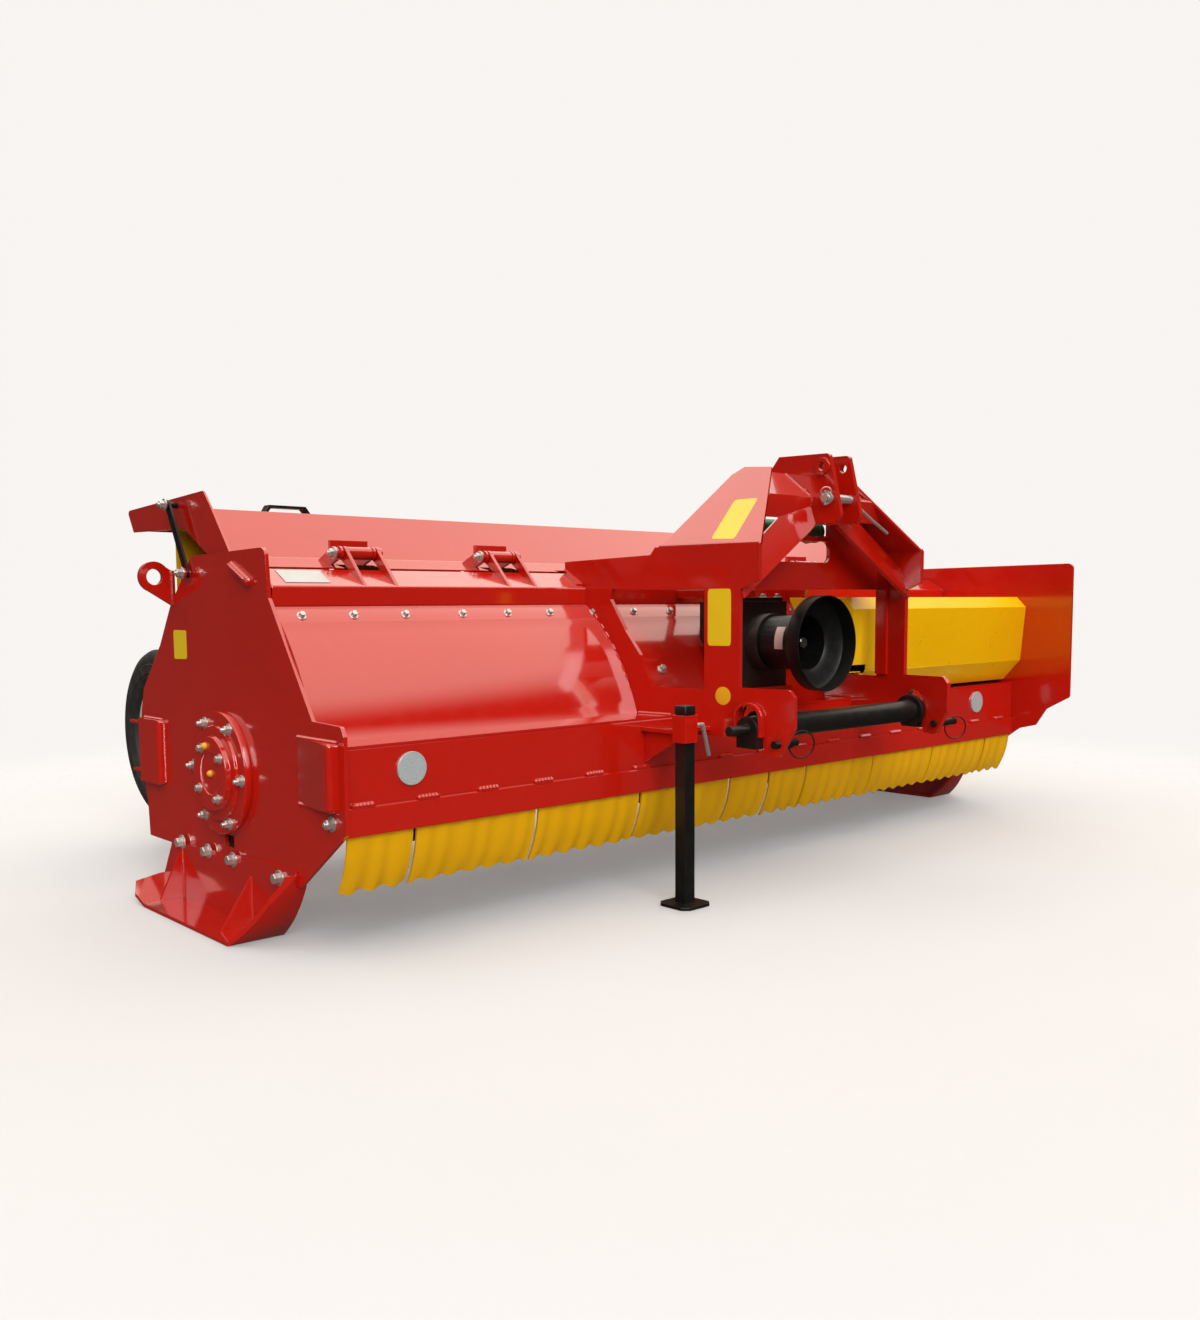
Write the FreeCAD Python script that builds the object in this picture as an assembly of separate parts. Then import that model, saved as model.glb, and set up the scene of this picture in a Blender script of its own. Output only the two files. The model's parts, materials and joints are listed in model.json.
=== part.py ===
import FreeCAD, Part

import math
import os

# A tractor-mounted flail mulcher, standing on its skids and its parking leg.
# Sizes are millimetres. +X runs along the machine's width towards the belt-drive side,
# -Y points forward to the tractor and +Z is up. While the pieces are built, Y is counted
# from the front face of the lower box beam; save() then moves everything back by MIDDLE_Y,
# so the origin ends up on the ground in the middle of the machine's box.

V = FreeCAD.Vector

# ---- driving dimensions -------------------------------------------------------------

# overall
WORK_WIDTH = 3000.0          # between the inner faces of the two side plates
PLATE_T = 10.0               # side plate
LUG_OUT = 47.0               # lifting eye's middle past the side plate
SHEET_T = 6.0                # housing sheet
SIDE_REACH = 122.0           # outer edge of a skid, and of the belt guard, past the side plate

# rotor
ROTOR_Y = 595.0
ROTOR_Z = 390.0
ROTOR_TUBE_R = 95.0
ROTOR_END_GAP = 12.0         # rotor tube to side plate
HAMMER_TIP_R = 272.0
HAMMER_WIDTH = 90.0
HAMMER_ROWS = 4
HAMMERS_PER_ROW = 8
SHAFT_R = 40.0
RUNNING_GAP = 0.05           # radial clearance of every turning shaft

# rotor bearing
FLANGE_R = 162.0
FLANGE_T = 20.0
HUB_R = 98.0
HUB_LENGTH = 21.0
CAP_T = 8.0

# housing profile, seen from the side
BOX_LOW_Z = 360.0
SHELF_Z = 505.0
SHELF_DEPTH = 126.0
BOX_DEPTH = 140.0
BOX_WALL = 6.0
SHEET_MID = (188.0, 658.0)   # a point on the curved front sheet
BEAM_FRONT_Y = 317.0
BEAM_LOW_Z = 821.0
BEAM_FRONT_HEIGHT = 50.0
BEAM_DEPTH = 83.0
BEAM_SLOPE_RISE = 46.0
BEAM_WALL = 5.0
STRIP_T = 6.0
RAIL_LOW_Z = 297.0
RAIL_T = 8.0

# front flaps
FLAP_HALVES = (1, 2, 2, 2, 1, 1, 2, 2, 2, 1)   # widths, counted in half flaps
FLAP_GAP = 14.0
FLAP_TOP_Z = 345.0
FLAP_BEND_Z = 190.0
FLAP_LOW_Z = 156.0
FLAP_KICK = 42.0             # how far the lip leans back
FLAP_T = 7.0
FLAP_WAVE = 6.0              # depth of the corrugation
WAVES_PER_HALF = 3

# three-point headstock
NOSE_HALF = 387.0            # hitch plate's outer face at the nose
NOSE_Y = -394.0
FLARE_FROM_Y = -370.0
FLARE = 8.0                  # degrees that each hitch plate opens towards the rear
HITCH_T = 15.0
LOWER_BAR_Y = -263.0
LOWER_BAR_Z = 482.0
LOWER_BAR_R = 33.0
COLLAR_R = 36.0
SLOT_TOP_Z = 547.0
LINK_PIN_R = 14.0
LINK_PIN_OUT = 495.0
BAR_FLANGE_R = 50.0
BAR_FLANGE_GAP = 9.0           # flange's middle to the flared plate
RETAINING_PIN_R = 11.0
RETAINING_PIN = (-345.0, 445.0)    # its (y, z) place in the plate's nose
FOLD_Z = 982.0
HEAD_HALF = 55.0             # outer face of a mast head cheek
HEAD_T = 15.0
TOP_PIN_Y = -257.0
TOP_PIN_Z = 1121.0
TOP_PIN_R = 12.5
UPPER_HOLE_Y = -232.0
UPPER_HOLE_Z = 1213.0
UPPER_HOLE_R = 13.0
MAST_SHEET_T = 8.0
MAST_TOP = (187.0, -50.0, 1218.0)   # rear upper corner of a mast sheet's outer face
CROSS_TOP_Z = 1022.0
CROSS_FOLD_T = 8.0
WEB_STEP_X = 138.0             # the cross web stands taller from here to the right

# drive
GEARBOX_HALF = 118.0
GEARBOX_FRONT_Y = 34.0
GEARBOX_REAR_Y = 190.0
GEARBOX_LOW_Z = 562.0
GEARBOX_TOP_Z = 828.0
INPUT_Z = 702.0
INPUT_SHAFT_R = 17.4
SHAFT_SEAT_R = 22.0            # the shaft's thicker part, in the gearbox
SHAFT_STEP_Y = -27.0
INPUT_SHAFT_END_Y = -128.0
SHIELD_RIM_Y = -215.0
SHIELD_RIM_R = 142.0
SHIELD_NECK_R = 80.0
SHIELD_BAND = 44.0             # length of the shield's straight band
SHIELD_T = 4.0
COVER_LEFT_X = 362.0
COVER_T = 3.0
COVER_PLATE_GAP = 2.0        # outer part of the cover to the hitch plate
DRIVE_TUBE_R = 48.0
DRIVE_Y = 110.0
DRIVE_Z = 700.0
GUARD_LOW_R = 192.0
GUARD_TOP_R = 165.0
GUARD_T = 3.0
PULLEY_R = 150.0
PULLEY_T = 56.0

# skids
SKID_FLAT_FRONT_Y = 347.0
SKID_FLAT_REAR_Y = 864.0
SKID_INSIDE = 18.0           # how far a skid reaches in under the housing
SKID_T = 8.0
SKID_TOP_Z = 191.0
SKID_SOLE_T = 10.0
SKID_ROLL = (582.0, 328.0)   # centre of the rolled-up front
SKID_TAIL_RUN = 146.0
SKID_TAIL_RISE = 46.0

# parking leg
LEG_X = -545.0
LEG_Y = -150.0
LEG_SIZE = 38.0
LEG_TOP_Z = 547.0
LEG_GAP = 0.5
SLEEVE_WALL = 5.0
SLEEVE_LOW_Z = 448.0
SLEEVE_TOP_Z = 523.0
FOOT_SIZE = 112.0
FOOT_T = 8.0

# rear hood, drawn as it stands: propped open
HINGE_Y = 425.0
HINGE_Z = 960.0
HINGE_PIN_R = 10.0
HINGE_NOSE_R = 18.0
HINGE_T = 10.0
HINGE_SPAN = 106.0           # over the two frame cheeks of one hinge
HINGE_X = (1190.0, 718.0)    # middle of each hinge, both sides of the machine
HOOD_T = 4.0
HOOD_END_T = 6.0
HOOD_END_GAP = 8.0           # hood end to side plate
HOOD_SEAM = (405.0, 921.0)
HOOD_BEND = (559.0, 951.0)
HOOD_RIDGE = (664.0, 1078.0)
HOOD_REAR = (1202.0, 1072.0)
HOOD_LIP = (1179.0, 1044.0)
CURTAIN_Y = 925.0
CURTAIN_Z = 1046.0
CURTAIN_ROD_R = 8.0
CURTAIN_DROP = 470.0
CURTAIN_T = 6.0
CURTAIN_STRIPS = 6
STAY_LOW = (766.0, 912.0)
STAY_TOP = (873.0, 1100.0)
STAY_WIDTH = 26.0
STAY_T = 6.0
STUD_R = 8.0

# rear wheels
WHEEL_Y = 1540.0
WHEEL_Z = 400.0
TYRE_R = 285.0
TYRE_WIDTH = 200.0
WHEEL_OUTER_X = 1325.0
RIM_R = 165.0
AXLE_R = 20.0
REAR_TUBE_Y = 1085.0
REAR_TUBE_SIZE = 100.0
WHEEL_ARM_SIZE = 70.0
ARM_TYRE_GAP = 20.0
ARM_COLLAR = 8.0
HUB_GAP = 1.0
AXLE_PAST_MIDDLE = 44.0

# ---- sizes that follow ---------------------------------------------------------------

HALF = WORK_WIDTH / 2
OUTER_HALF = HALF + PLATE_T
OVERALL_HALF = OUTER_HALF + SIDE_REACH
SKID_INNER_HALF = HALF - SKID_INSIDE
BEAM_TOP_Z = BEAM_LOW_Z + BEAM_FRONT_HEIGHT
BEAM_REAR_Y = BEAM_FRONT_Y + BEAM_DEPTH
BEAM_REAR_TOP_Z = BEAM_TOP_Z + BEAM_SLOPE_RISE
MIDDLE_Y = (NOSE_Y + WHEEL_Y + TYRE_R) / 2
SLOT_R = COLLAR_R
ARM_FACE_X = WHEEL_OUTER_X - TYRE_WIDTH - ARM_TYRE_GAP


# ---- helpers -------------------------------------------------------------------------

def save(node, *solids):
    """Writes one node's solids in the machine's own frame."""
    shape = solids[0] if len(solids) == 1 else Part.makeCompound(list(solids))
    shape = shape.copy()
    shape.translate(V(0, -MIDDLE_Y, 0))
    shape.exportStep(f"parts/{node}.step")


def box(x0, x1, y0, y1, z0, z1):
    return Part.makeBox(x1 - x0, y1 - y0, z1 - z0, V(x0, y0, z0))


def rod(start, end, radius):
    start, end = V(*start), V(*end)
    return Part.makeCylinder(radius, (end - start).Length, start, end - start)


def tube(start, end, outer, inner):
    return rod(start, end, outer).cut(rod(start, end, inner))


def prism(outline, x0, x1):
    """A side-view outline of (y, z) points, carried from x0 to x1."""
    points = [V(x0, y, z) for y, z in outline]
    face = Part.Face(Part.makePolygon(points + points[:1]))
    return face.extrude(V(x1 - x0, 0, 0))


def slab(corners, thickness):
    """A flat plate through 3-D corners, thickened along its own normal."""
    points = [V(*corner) for corner in corners]
    normal = (points[1] - points[0]).cross(points[2] - points[0])
    normal.normalize()
    face = Part.Face(Part.makePolygon(points + points[:1]))
    return face.extrude(normal * thickness)


def bent_sheet(path, thickness):
    """Outline of a bent sheet: its outer path, then the same path one thickness inside."""
    normals = []
    for (y0, z0), (y1, z1) in zip(path, path[1:]):
        length = math.hypot(y1 - y0, z1 - z0)
        normals.append(((z1 - z0) / length, (y0 - y1) / length))
    normals = normals[:1] + normals + normals[-1:]
    inside = []
    for i, (y, z) in enumerate(path):
        (ay, az), (by, bz) = normals[i], normals[i + 1]
        share = thickness / (1 + ay * by + az * bz)
        inside.append((y + (ay + by) * share, z + (az + bz) * share))
    return path + inside[::-1]


def plan_block(corners, z0, z1):
    """A block whose outline is given in plan, as (x, y) corners."""
    points = [V(x, y, z0) for x, y in corners]
    return Part.Face(Part.makePolygon(points + points[:1])).extrude(V(0, 0, z1 - z0))


def front_block(corners, y0, y1):
    """A block whose outline is given from the front, as (x, z) corners."""
    points = [V(x, y0, z) for x, z in corners]
    return Part.Face(Part.makePolygon(points + points[:1])).extrude(V(0, y1 - y0, 0))


def join(*solids):
    return solids[0].multiFuse(list(solids[1:])).removeSplitter()


def mirror(shape):
    """The same piece on the other side of the machine."""
    return shape.mirror(V(0, 0, 0), V(1, 0, 0))


def round_corners(shape, radius, corners, reach=3.0):
    """Rounds the edges along X whose (y, z) place is one of the corners."""
    picked = []
    for edge in shape.Edges:
        middle = edge.BoundBox.Center
        along_x = edge.BoundBox.YLength < 0.01 and edge.BoundBox.ZLength < 0.01
        near = any(math.hypot(middle.y - y, middle.z - z) < reach for y, z in corners)
        if along_x and near:
            picked.append(edge)
    return shape.makeFillet(radius, picked)


def round_edges(shape, radius, chosen):
    """Rounds each edge whose bounding box passes the test."""
    return shape.makeFillet(radius, [edge for edge in shape.Edges if chosen(edge.BoundBox)])


# ---- the housing's outer skin, used to seat what stands on it --------------------------

def sheet_arc(inset):
    """The curved front sheet, inset inwards from its outer face."""
    low = V(0, SHELF_DEPTH + inset, SHELF_Z - inset)
    middle = V(0, SHEET_MID[0] + inset * 0.82, SHEET_MID[1] - inset * 0.57)
    high = V(0, BEAM_FRONT_Y + inset * 0.6, BEAM_LOW_Z)
    return Part.Arc(low, middle, high).toShape(), low, high


def skin_block(half):
    """Everything behind the housing's front skin, as one solid for cutting."""
    arc, low, high = sheet_arc(0)
    line = [high, V(0, BEAM_FRONT_Y, BEAM_TOP_Z), V(0, BEAM_REAR_Y, BEAM_REAR_TOP_Z),
            V(0, BEAM_REAR_Y, BOX_LOW_Z - 100), V(0, 0, BOX_LOW_Z - 100), V(0, 0, SHELF_Z), low]
    edges = [arc] + [Part.makeLine(a, b) for a, b in zip(line, line[1:])]
    face = Part.Face(Part.Wire(Part.__sortEdges__(edges)))
    block = face.extrude(V(2 * half, 0, 0))
    block.translate(V(-half, 0, 0))
    return block


SKIN = skin_block(HALF)


def housing_sheet():
    outer, low, high = sheet_arc(0)
    inner, inner_low, inner_high = sheet_arc(SHEET_T)
    edges = [outer, inner, Part.makeLine(high, inner_high),
             Part.makeLine(low, V(0, 0, SHELF_Z)),
             Part.makeLine(V(0, 0, SHELF_Z), V(0, 0, SHELF_Z - SHEET_T)),
             Part.makeLine(V(0, 0, SHELF_Z - SHEET_T), inner_low)]
    face = Part.Face(Part.Wire(Part.__sortEdges__(edges)))
    sheet = face.extrude(V(WORK_WIDTH, 0, 0))
    sheet.translate(V(-HALF, 0, 0))
    # the flat strip that is bolted along the sheet's upper edge
    high_y, high_z = BEAM_FRONT_Y, BEAM_LOW_Z - 6
    low_y, low_z = BEAM_FRONT_Y - 34, BEAM_LOW_Z - 44
    strip = prism([(high_y - 7, high_z + 1), (high_y + 3, high_z - 9),
                   (low_y + 4, low_z - 5), (low_y - 7, low_z + 3)], -HALF, HALF)
    return join(sheet, strip)


def box_beam():
    low, high, rear = BOX_LOW_Z, SHELF_Z - SHEET_T, BOX_DEPTH
    outer = box(-HALF, HALF, 0, rear, low, high)
    w = BOX_WALL
    hollow = box(-HALF - 1, HALF + 1, w, rear - w, low + w, high - w)
    return outer.cut(hollow)


def front_rail():
    return box(-HALF, HALF, -RAIL_T, 0, RAIL_LOW_Z, BOX_LOW_Z + 4)


def top_beam():
    outer = [(BEAM_FRONT_Y, BEAM_LOW_Z), (BEAM_FRONT_Y, BEAM_TOP_Z),
             (BEAM_REAR_Y, BEAM_REAR_TOP_Z), (BEAM_REAR_Y, BEAM_LOW_Z)]
    w = BEAM_WALL
    inner = [(BEAM_FRONT_Y + w, BEAM_LOW_Z + w), (BEAM_FRONT_Y + w, BEAM_TOP_Z - w / 2),
             (BEAM_REAR_Y - w, BEAM_REAR_TOP_Z - 1.7 * w), (BEAM_REAR_Y - w, BEAM_LOW_Z + w)]
    return prism(outer, -HALF, HALF).cut(prism(inner, -HALF - 1, HALF + 1))


# ---- side plates ----------------------------------------------------------------------

REAR_EDGE = [(752, 957), (904, 822), (983, 715), (1115, 585), (1140, 515), (1150, 354),
             (1119, 256), (1111, 150)]
LOW_FRONT = [(201, 150), (113, 213), (-18, 307)]


def shaft_hole(x0, x1):
    return rod((x0 - 1, ROTOR_Y, ROTOR_Z), (x1 + 1, ROTOR_Y, ROTOR_Z), SHAFT_R + 20)


def raised_details():
    """Welded pads, ribs and the stay's stud on the left plate's outer face."""
    x = -OUTER_HALF
    pad = plan_block([(x, 195), (x - 14, 106), (x - 26, 30), (x - 26, 8), (x, 8)], 357, 514)
    pad = round_edges(pad, 9, lambda b: b.XMin < x - 25 and b.YMax < 31)
    bracket = box(x - 18, x, 980, 1120, 314, 500)
    bracket = round_edges(bracket, 10, lambda b: b.XMin < x - 17 and b.YMax < 1119)
    lips = [box(x - 18, x, 1100, y1, z, z + 8) for y1, z in ((1185, 482), (1175, 340))]
    bracket = join(bracket, *lips)
    tab = prism([(508, 931), (401, 882), (405, 873), (512, 922)], x - 14, x)
    return [pad, bracket, tab, stay_stud()]


def stay_stud():
    y, z = STAY_LOW
    x = -OUTER_HALF
    shank = rod((x, y, z), (x - 18, y, z), STUD_R)
    return join(shank, rod((x - 14, y, z), (x - 22, y, z), 14))


def side_plate_left():
    outline = REAR_EDGE + LOW_FRONT + [(-18, 530), (-6, 552), (122, 556), (320, 842), (332, 965)]
    plate = prism(outline, -OUTER_HALF, -HALF)
    plate = round_corners(plate, 24, [(332, 965)])
    plate = round_corners(plate, 12, [(-6, 552), (904, 822), (1115, 585)])
    plate = plate.cut(shaft_hole(-OUTER_HALF, -HALF))
    plate = plate.cut(box(-OUTER_HALF - 1, -HALF + 1, 552, 606, 193, 226))
    return join(plate, *raised_details())


def side_plate_right():
    front = [(3, 295), (-34, 322), (-101, 339), (-144, 405), (-236, 456), (-236, 965)]
    outline = REAR_EDGE + LOW_FRONT[:2] + front
    plate = prism(outline, HALF, OUTER_HALF)
    plate = round_corners(plate, 22, [(-236, 965)])
    plate = round_corners(plate, 12, [(-236, 456), (-144, 405), (904, 822)])
    plate = plate.cut(shaft_hole(HALF, OUTER_HALF))
    bracket = mirror(raised_details()[1])
    return join(plate, bracket, mirror(stay_stud()))


def lifting_lug(side):
    """An eye plate that stands out from the plate's rear edge."""
    y0, y1, x, z, r = 886.0, 900.0, OUTER_HALF + LUG_OUT, 904.0, 42.0
    eye = rod((x, y0, z), (x, y1, z), r)
    points = [V(x - 8, y0, z + r - 1), V(OUTER_HALF, y0, z + 18), V(OUTER_HALF, y0, z - 78),
              V(x + r - 17, y0, z - r + 9)]
    web = Part.Face(Part.makePolygon(points + points[:1])).extrude(V(0, y1 - y0, 0))
    root = box(HALF, OUTER_HALF, y0, y1, z - 78, z + 18)
    plate = prism(REAR_EDGE + LOW_FRONT + [(332, 965)], HALF, OUTER_HALF)
    lug = join(eye, web, root).cut(rod((x, y0 - 1, z), (x, y1 + 1, z), 22)).cut(plate)
    return lug if side > 0 else mirror(lug)


# ---- front flaps ----------------------------------------------------------------------

def flap(x0, x1, waves):
    """A corrugated flap between x0 and x1: straight above, leaning back below."""
    pitch = (x1 - x0) / waves
    front = []
    for i in range(waves):
        start = x0 + i * pitch
        front += [(start, FLAP_WAVE), (start + pitch * 0.2, FLAP_WAVE),
                  (start + pitch * 0.35, 0), (start + pitch * 0.85, 0)]
    front.append((x1, FLAP_WAVE))
    back = [(x, y + FLAP_T) for x, y in reversed(front)]
    points = [V(x, y, FLAP_BEND_Z) for x, y in front + back]
    section = Part.Face(Part.makePolygon(points + points[:1]))
    upper = section.extrude(V(0, 0, FLAP_TOP_Z - FLAP_BEND_Z))
    lip = section.extrude(V(0, FLAP_KICK, FLAP_LOW_Z - FLAP_BEND_Z))
    return join(upper, lip)


def front_flaps():
    half_flap = WORK_WIDTH / sum(FLAP_HALVES)
    flaps = []
    start = -HALF
    for halves in FLAP_HALVES:
        end = start + halves * half_flap
        flaps.append(flap(start + FLAP_GAP / 2, end - FLAP_GAP / 2, halves * WAVES_PER_HALF))
        start = end
    return flaps


# ---- headstock -------------------------------------------------------------------------

def along(y):
    """Length along a flared hitch plate for a place given by its y."""
    return FLARE_FROM_Y + (y - FLARE_FROM_Y) / math.cos(math.radians(FLARE))


def hitch_half(y):
    """Outer face of the hitch plate at y, from the machine's middle."""
    return NOSE_HALF + (y - FLARE_FROM_Y) * math.tan(math.radians(FLARE))


def flared(shape):
    """Turns a piece drawn at x = 0 into the right-hand hitch plate's place."""
    shape = shape.copy()
    shape.rotate(V(0, FLARE_FROM_Y, 0), V(0, 0, 1), -FLARE)
    shape.translate(V(NOSE_HALF, 0, 0))
    return shape


def link_slot(x0, x1):
    """The slot for the lower link bar's collar: open below, round above."""
    y, arch_z = LOWER_BAR_Y, SLOT_TOP_Z - SLOT_R
    return join(rod((x0, y, arch_z), (x1, y, arch_z), SLOT_R),
                box(x0, x1, y - SLOT_R, y + SLOT_R, 400, arch_z))


def hitch_plate():
    slot_y = LOWER_BAR_Y
    outline = [(-377, 593), (NOSE_Y, 572), (NOSE_Y, 488), (-352, 410), (slot_y - SLOT_R - 6, 416),
               (slot_y - SLOT_R, 440), (slot_y + SLOT_R, 440), (slot_y + SLOT_R + 8, 455),
               (-2, 455), (300, 455), (398, 870), (398, 950), (77, 961), (60, FOLD_Z),
               (-283, FOLD_Z), (-283, 884), (-224, 860), (-223, 593)]
    plate = prism([(along(y), z) for y, z in outline], -HITCH_T, 0)
    plate = round_corners(plate, 12, [(along(-377), 593), (along(NOSE_Y), 572)])
    plate = round_corners(plate, 18, [(along(NOSE_Y), 488), (along(-352), 410)])
    window = [(-109, 862), (217, 866), (224, 836), (169, 746), (114, 674), (71, 583), (-109, 584)]
    hole = prism([(along(y), z) for y, z in window], -HITCH_T - 1, 1)
    doubler = box(-HITCH_T - 8, -HITCH_T + 1, along(-155), along(-109), 590, 930)
    plate = flared(join(plate.cut(hole), doubler)).cut(link_slot(300, 520))
    y, z = RETAINING_PIN
    pin_hole = rod((300, y, z), (500, y, z), RETAINING_PIN_R + 0.2)
    foot = foot_gusset()
    return join(plate.cut(pin_hole), foot).cut(SKIN).cut(housing_sheet()).cut(hood_sweep())


def foot_gusset():
    x = hitch_half(350)
    points = [V(x - 1, 325, BEAM_TOP_Z), V(x + 26, 325, BEAM_TOP_Z),
              V(x + 12, 396, BEAM_REAR_TOP_Z), V(x - 1, 396, BEAM_REAR_TOP_Z)]
    foot = Part.Face(Part.makePolygon(points + points[:1])).extrude(V(0, 0, 12))
    return foot


def hood_sweep():
    """Room that the hood's lower edge needs behind the beam."""
    return box(-700, 700, BEAM_REAR_Y + 1, BEAM_REAR_Y + 200, 700, 1000)


def hitch_saddle():
    """The lower link bar's collar seat: a bent strap over the slot."""
    arch_z = SLOT_TOP_Z - SLOT_R
    centre = along(LOWER_BAR_Y)
    strap = join(rod((0, centre, arch_z), (22, centre, arch_z), SLOT_R + 8),
                 box(0, 22, centre - SLOT_R - 8, centre + SLOT_R + 8, 462, arch_z))
    return flared(strap).cut(link_slot(300, 520))


def lower_link_bar():
    y, z = LOWER_BAR_Y, LOWER_BAR_Z
    face = hitch_half(y)
    bar = rod((-face + HITCH_T + 8, y, z), (face - HITCH_T - 8, y, z), LOWER_BAR_R)
    pieces = [bar]
    for side in (-1, 1):
        x0, x1 = sorted((side * (face - HITCH_T - 14), side * (face + 22)))
        pieces.append(rod((x0, y, z), (x1, y, z), COLLAR_R))
        pieces.append(box(x0, x1, y - COLLAR_R, y + COLLAR_R, z - 52, z))
        pieces.append(rod((side * face, y, z), (side * LINK_PIN_OUT, y, z), LINK_PIN_R))
        inside = side * (face - HITCH_T - BAR_FLANGE_GAP)
        pieces.append(rod((inside - side * 22, y, z), (inside, y, z), BAR_FLANGE_R))
    return join(*pieces)


def retaining_pins():
    y, z = RETAINING_PIN
    left = rod((-408, y, z), (-312, y, z), RETAINING_PIN_R)
    right = rod((366, y, z), (492, y, z), RETAINING_PIN_R)
    collar = rod((-368, y, z), (-340, y, z), RETAINING_PIN_R + 4)
    return [join(left, collar), right]


def mast_plane():
    """Three points of the right-hand mast sheet's outer face."""
    low_front = V(hitch_half(-283) - HITCH_T / 2, -283, FOLD_Z)
    low_rear = V(hitch_half(50) - HITCH_T / 2, 50, FOLD_Z)
    return low_front, low_rear, V(*MAST_TOP)


def on_mast_plane(x, y):
    """The point of the mast sheet's outer face above a place in plan."""
    low_front, low_rear, top = mast_plane()
    normal = (low_rear - low_front).cross(top - low_front)
    rise = normal.x * (x - low_front.x) + normal.y * (y - low_front.y)
    return V(x, y, low_front.z - rise / normal.z)


def above_mast_sheet():
    """All the room outside the right-hand mast sheet's inner face."""
    wide = [on_mast_plane(x, y) for x, y in ((560, -420), (560, 320), (20, 320), (20, -420))]
    return join(slab(wide, 300), slab(wide, -MAST_SHEET_T))


def mast_sheet():
    low_front, low_rear, top = mast_plane()
    corners = [low_front, low_rear, on_mast_plane(214, -24), top, on_mast_plane(181, -146)]
    sheet = slab(corners, -MAST_SHEET_T)
    return sheet.cut(hitch_plate())


def mast_head():
    outline = [(-71, 1254), (-253, 1249), (-286, 1113), (-297, 1070), (-276, 1049), (-170, 1052),
               (-114, 1064), (-41, 1219)]
    inner = HEAD_HALF - HEAD_T
    cheek = prism(outline, inner, HEAD_HALF)
    cheek = round_corners(cheek, 14, [(-253, 1249)])
    cheek = round_corners(cheek, 20, [(-297, 1070), (-276, 1049)])
    boss = rod((HEAD_HALF, UPPER_HOLE_Y, UPPER_HOLE_Z), (HEAD_HALF + 8, UPPER_HOLE_Y, UPPER_HOLE_Z), 24)
    # a folded cross piece runs out from the cheek to the mast sheet
    fold = bent_sheet([(-182, 1064), (-195, 1128), (-94, 1204), (-50, 1204)], CROSS_FOLD_T)
    wing = prism(fold, HEAD_HALF - 5, 420).cut(above_mast_sheet())
    cheek = join(cheek, boss, wing)
    back = box(-HEAD_HALF, HEAD_HALF, -76, -60, 1100, 1236)
    floor = box(-HEAD_HALF, HEAD_HALF, -150, -60, 1100, 1112)
    head = join(cheek, mirror(cheek), back, floor)
    x0, x1 = -HEAD_HALF - 20, HEAD_HALF + 20
    head = head.cut(rod((x0, UPPER_HOLE_Y, UPPER_HOLE_Z), (x1, UPPER_HOLE_Y, UPPER_HOLE_Z), UPPER_HOLE_R))
    return head.cut(rod((x0, TOP_PIN_Y, TOP_PIN_Z), (x1, TOP_PIN_Y, TOP_PIN_Z), TOP_PIN_R + 0.2))


def top_link_pin():
    y, z = TOP_PIN_Y, TOP_PIN_Z
    shank = rod((-82, y, z), (80, y, z), TOP_PIN_R)
    collar = rod((HEAD_HALF + 1, y, z), (HEAD_HALF + 9, y, z), 19)
    grip = rod((74, y, z), (88, y + 34, z - 70), 6)
    return join(shank, collar, grip)


def mast_brace():
    """A flat diagonal from a hitch plate's upright to the head, leaning back."""
    low_outer = V(hitch_half(LOWER_BAR_Y) - 4, -233, 836)
    low_inner = V(HEAD_HALF - 5, -209, 1049)
    lean = V(0, 32, 92)
    bar = slab([low_outer, low_inner, low_inner + lean * 1.2, low_outer + lean], 12)
    return bar.cut(hitch_plate()).cut(mast_head()).cut(above_mast_sheet())


def mast_cross():
    """The upright web between the hitch plates, with a rounded window below the head."""
    low = box(-412, 412, -112, -100, 862, CROSS_TOP_Z)
    tall = box(WEB_STEP_X, 412, -112, -100, CROSS_TOP_Z - 1, CROSS_TOP_Z + 110)
    web = join(low, tall)
    window = box(-143, 143, -120, -90, 944, 1008)
    corners = [edge for edge in window.Edges if edge.BoundBox.YLength > 20]
    web = web.cut(window.makeFillet(22, corners)).cut(mast_head())
    for side in (hitch_plate(), above_mast_sheet()):
        web = web.cut(side).cut(mirror(side))
    return web


# ---- drive -----------------------------------------------------------------------------

def gearbox():
    y0 = GEARBOX_FRONT_Y
    y1 = GEARBOX_REAR_Y
    outline = [(y0, GEARBOX_LOW_Z), (120, GEARBOX_LOW_Z), (y1 - 26, 676), (y1, 714),
               (y1, GEARBOX_TOP_Z), (y0, GEARBOX_TOP_Z)]
    body = prism(outline, -GEARBOX_HALF, GEARBOX_HALF)
    lid = box(-GEARBOX_HALF + 8, GEARBOX_HALF - 8, y0 + 8, y1 - 8, GEARBOX_TOP_Z, GEARBOX_TOP_Z + 12)
    boss = rod((0, y0, INPUT_Z), (0, y0 - 46, INPUT_Z), SHIELD_NECK_R + 8)
    side_boss = rod((GEARBOX_HALF, DRIVE_Y, DRIVE_Z), (GEARBOX_HALF + 28, DRIVE_Y, DRIVE_Z), 70)
    bore = rod((0, y0 + 60, INPUT_Z), (0, y0 - 50, INPUT_Z), SHAFT_SEAT_R + RUNNING_GAP)
    return join(body, lid, boss, side_boss).cut(bore).cut(SKIN)


def input_shaft():
    seat = rod((0, GEARBOX_FRONT_Y + 58, INPUT_Z), (0, SHAFT_STEP_Y, INPUT_Z), SHAFT_SEAT_R)
    stub = rod((0, SHAFT_STEP_Y + 5, INPUT_Z), (0, INPUT_SHAFT_END_Y, INPUT_Z), INPUT_SHAFT_R)
    return join(seat, stub)


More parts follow.
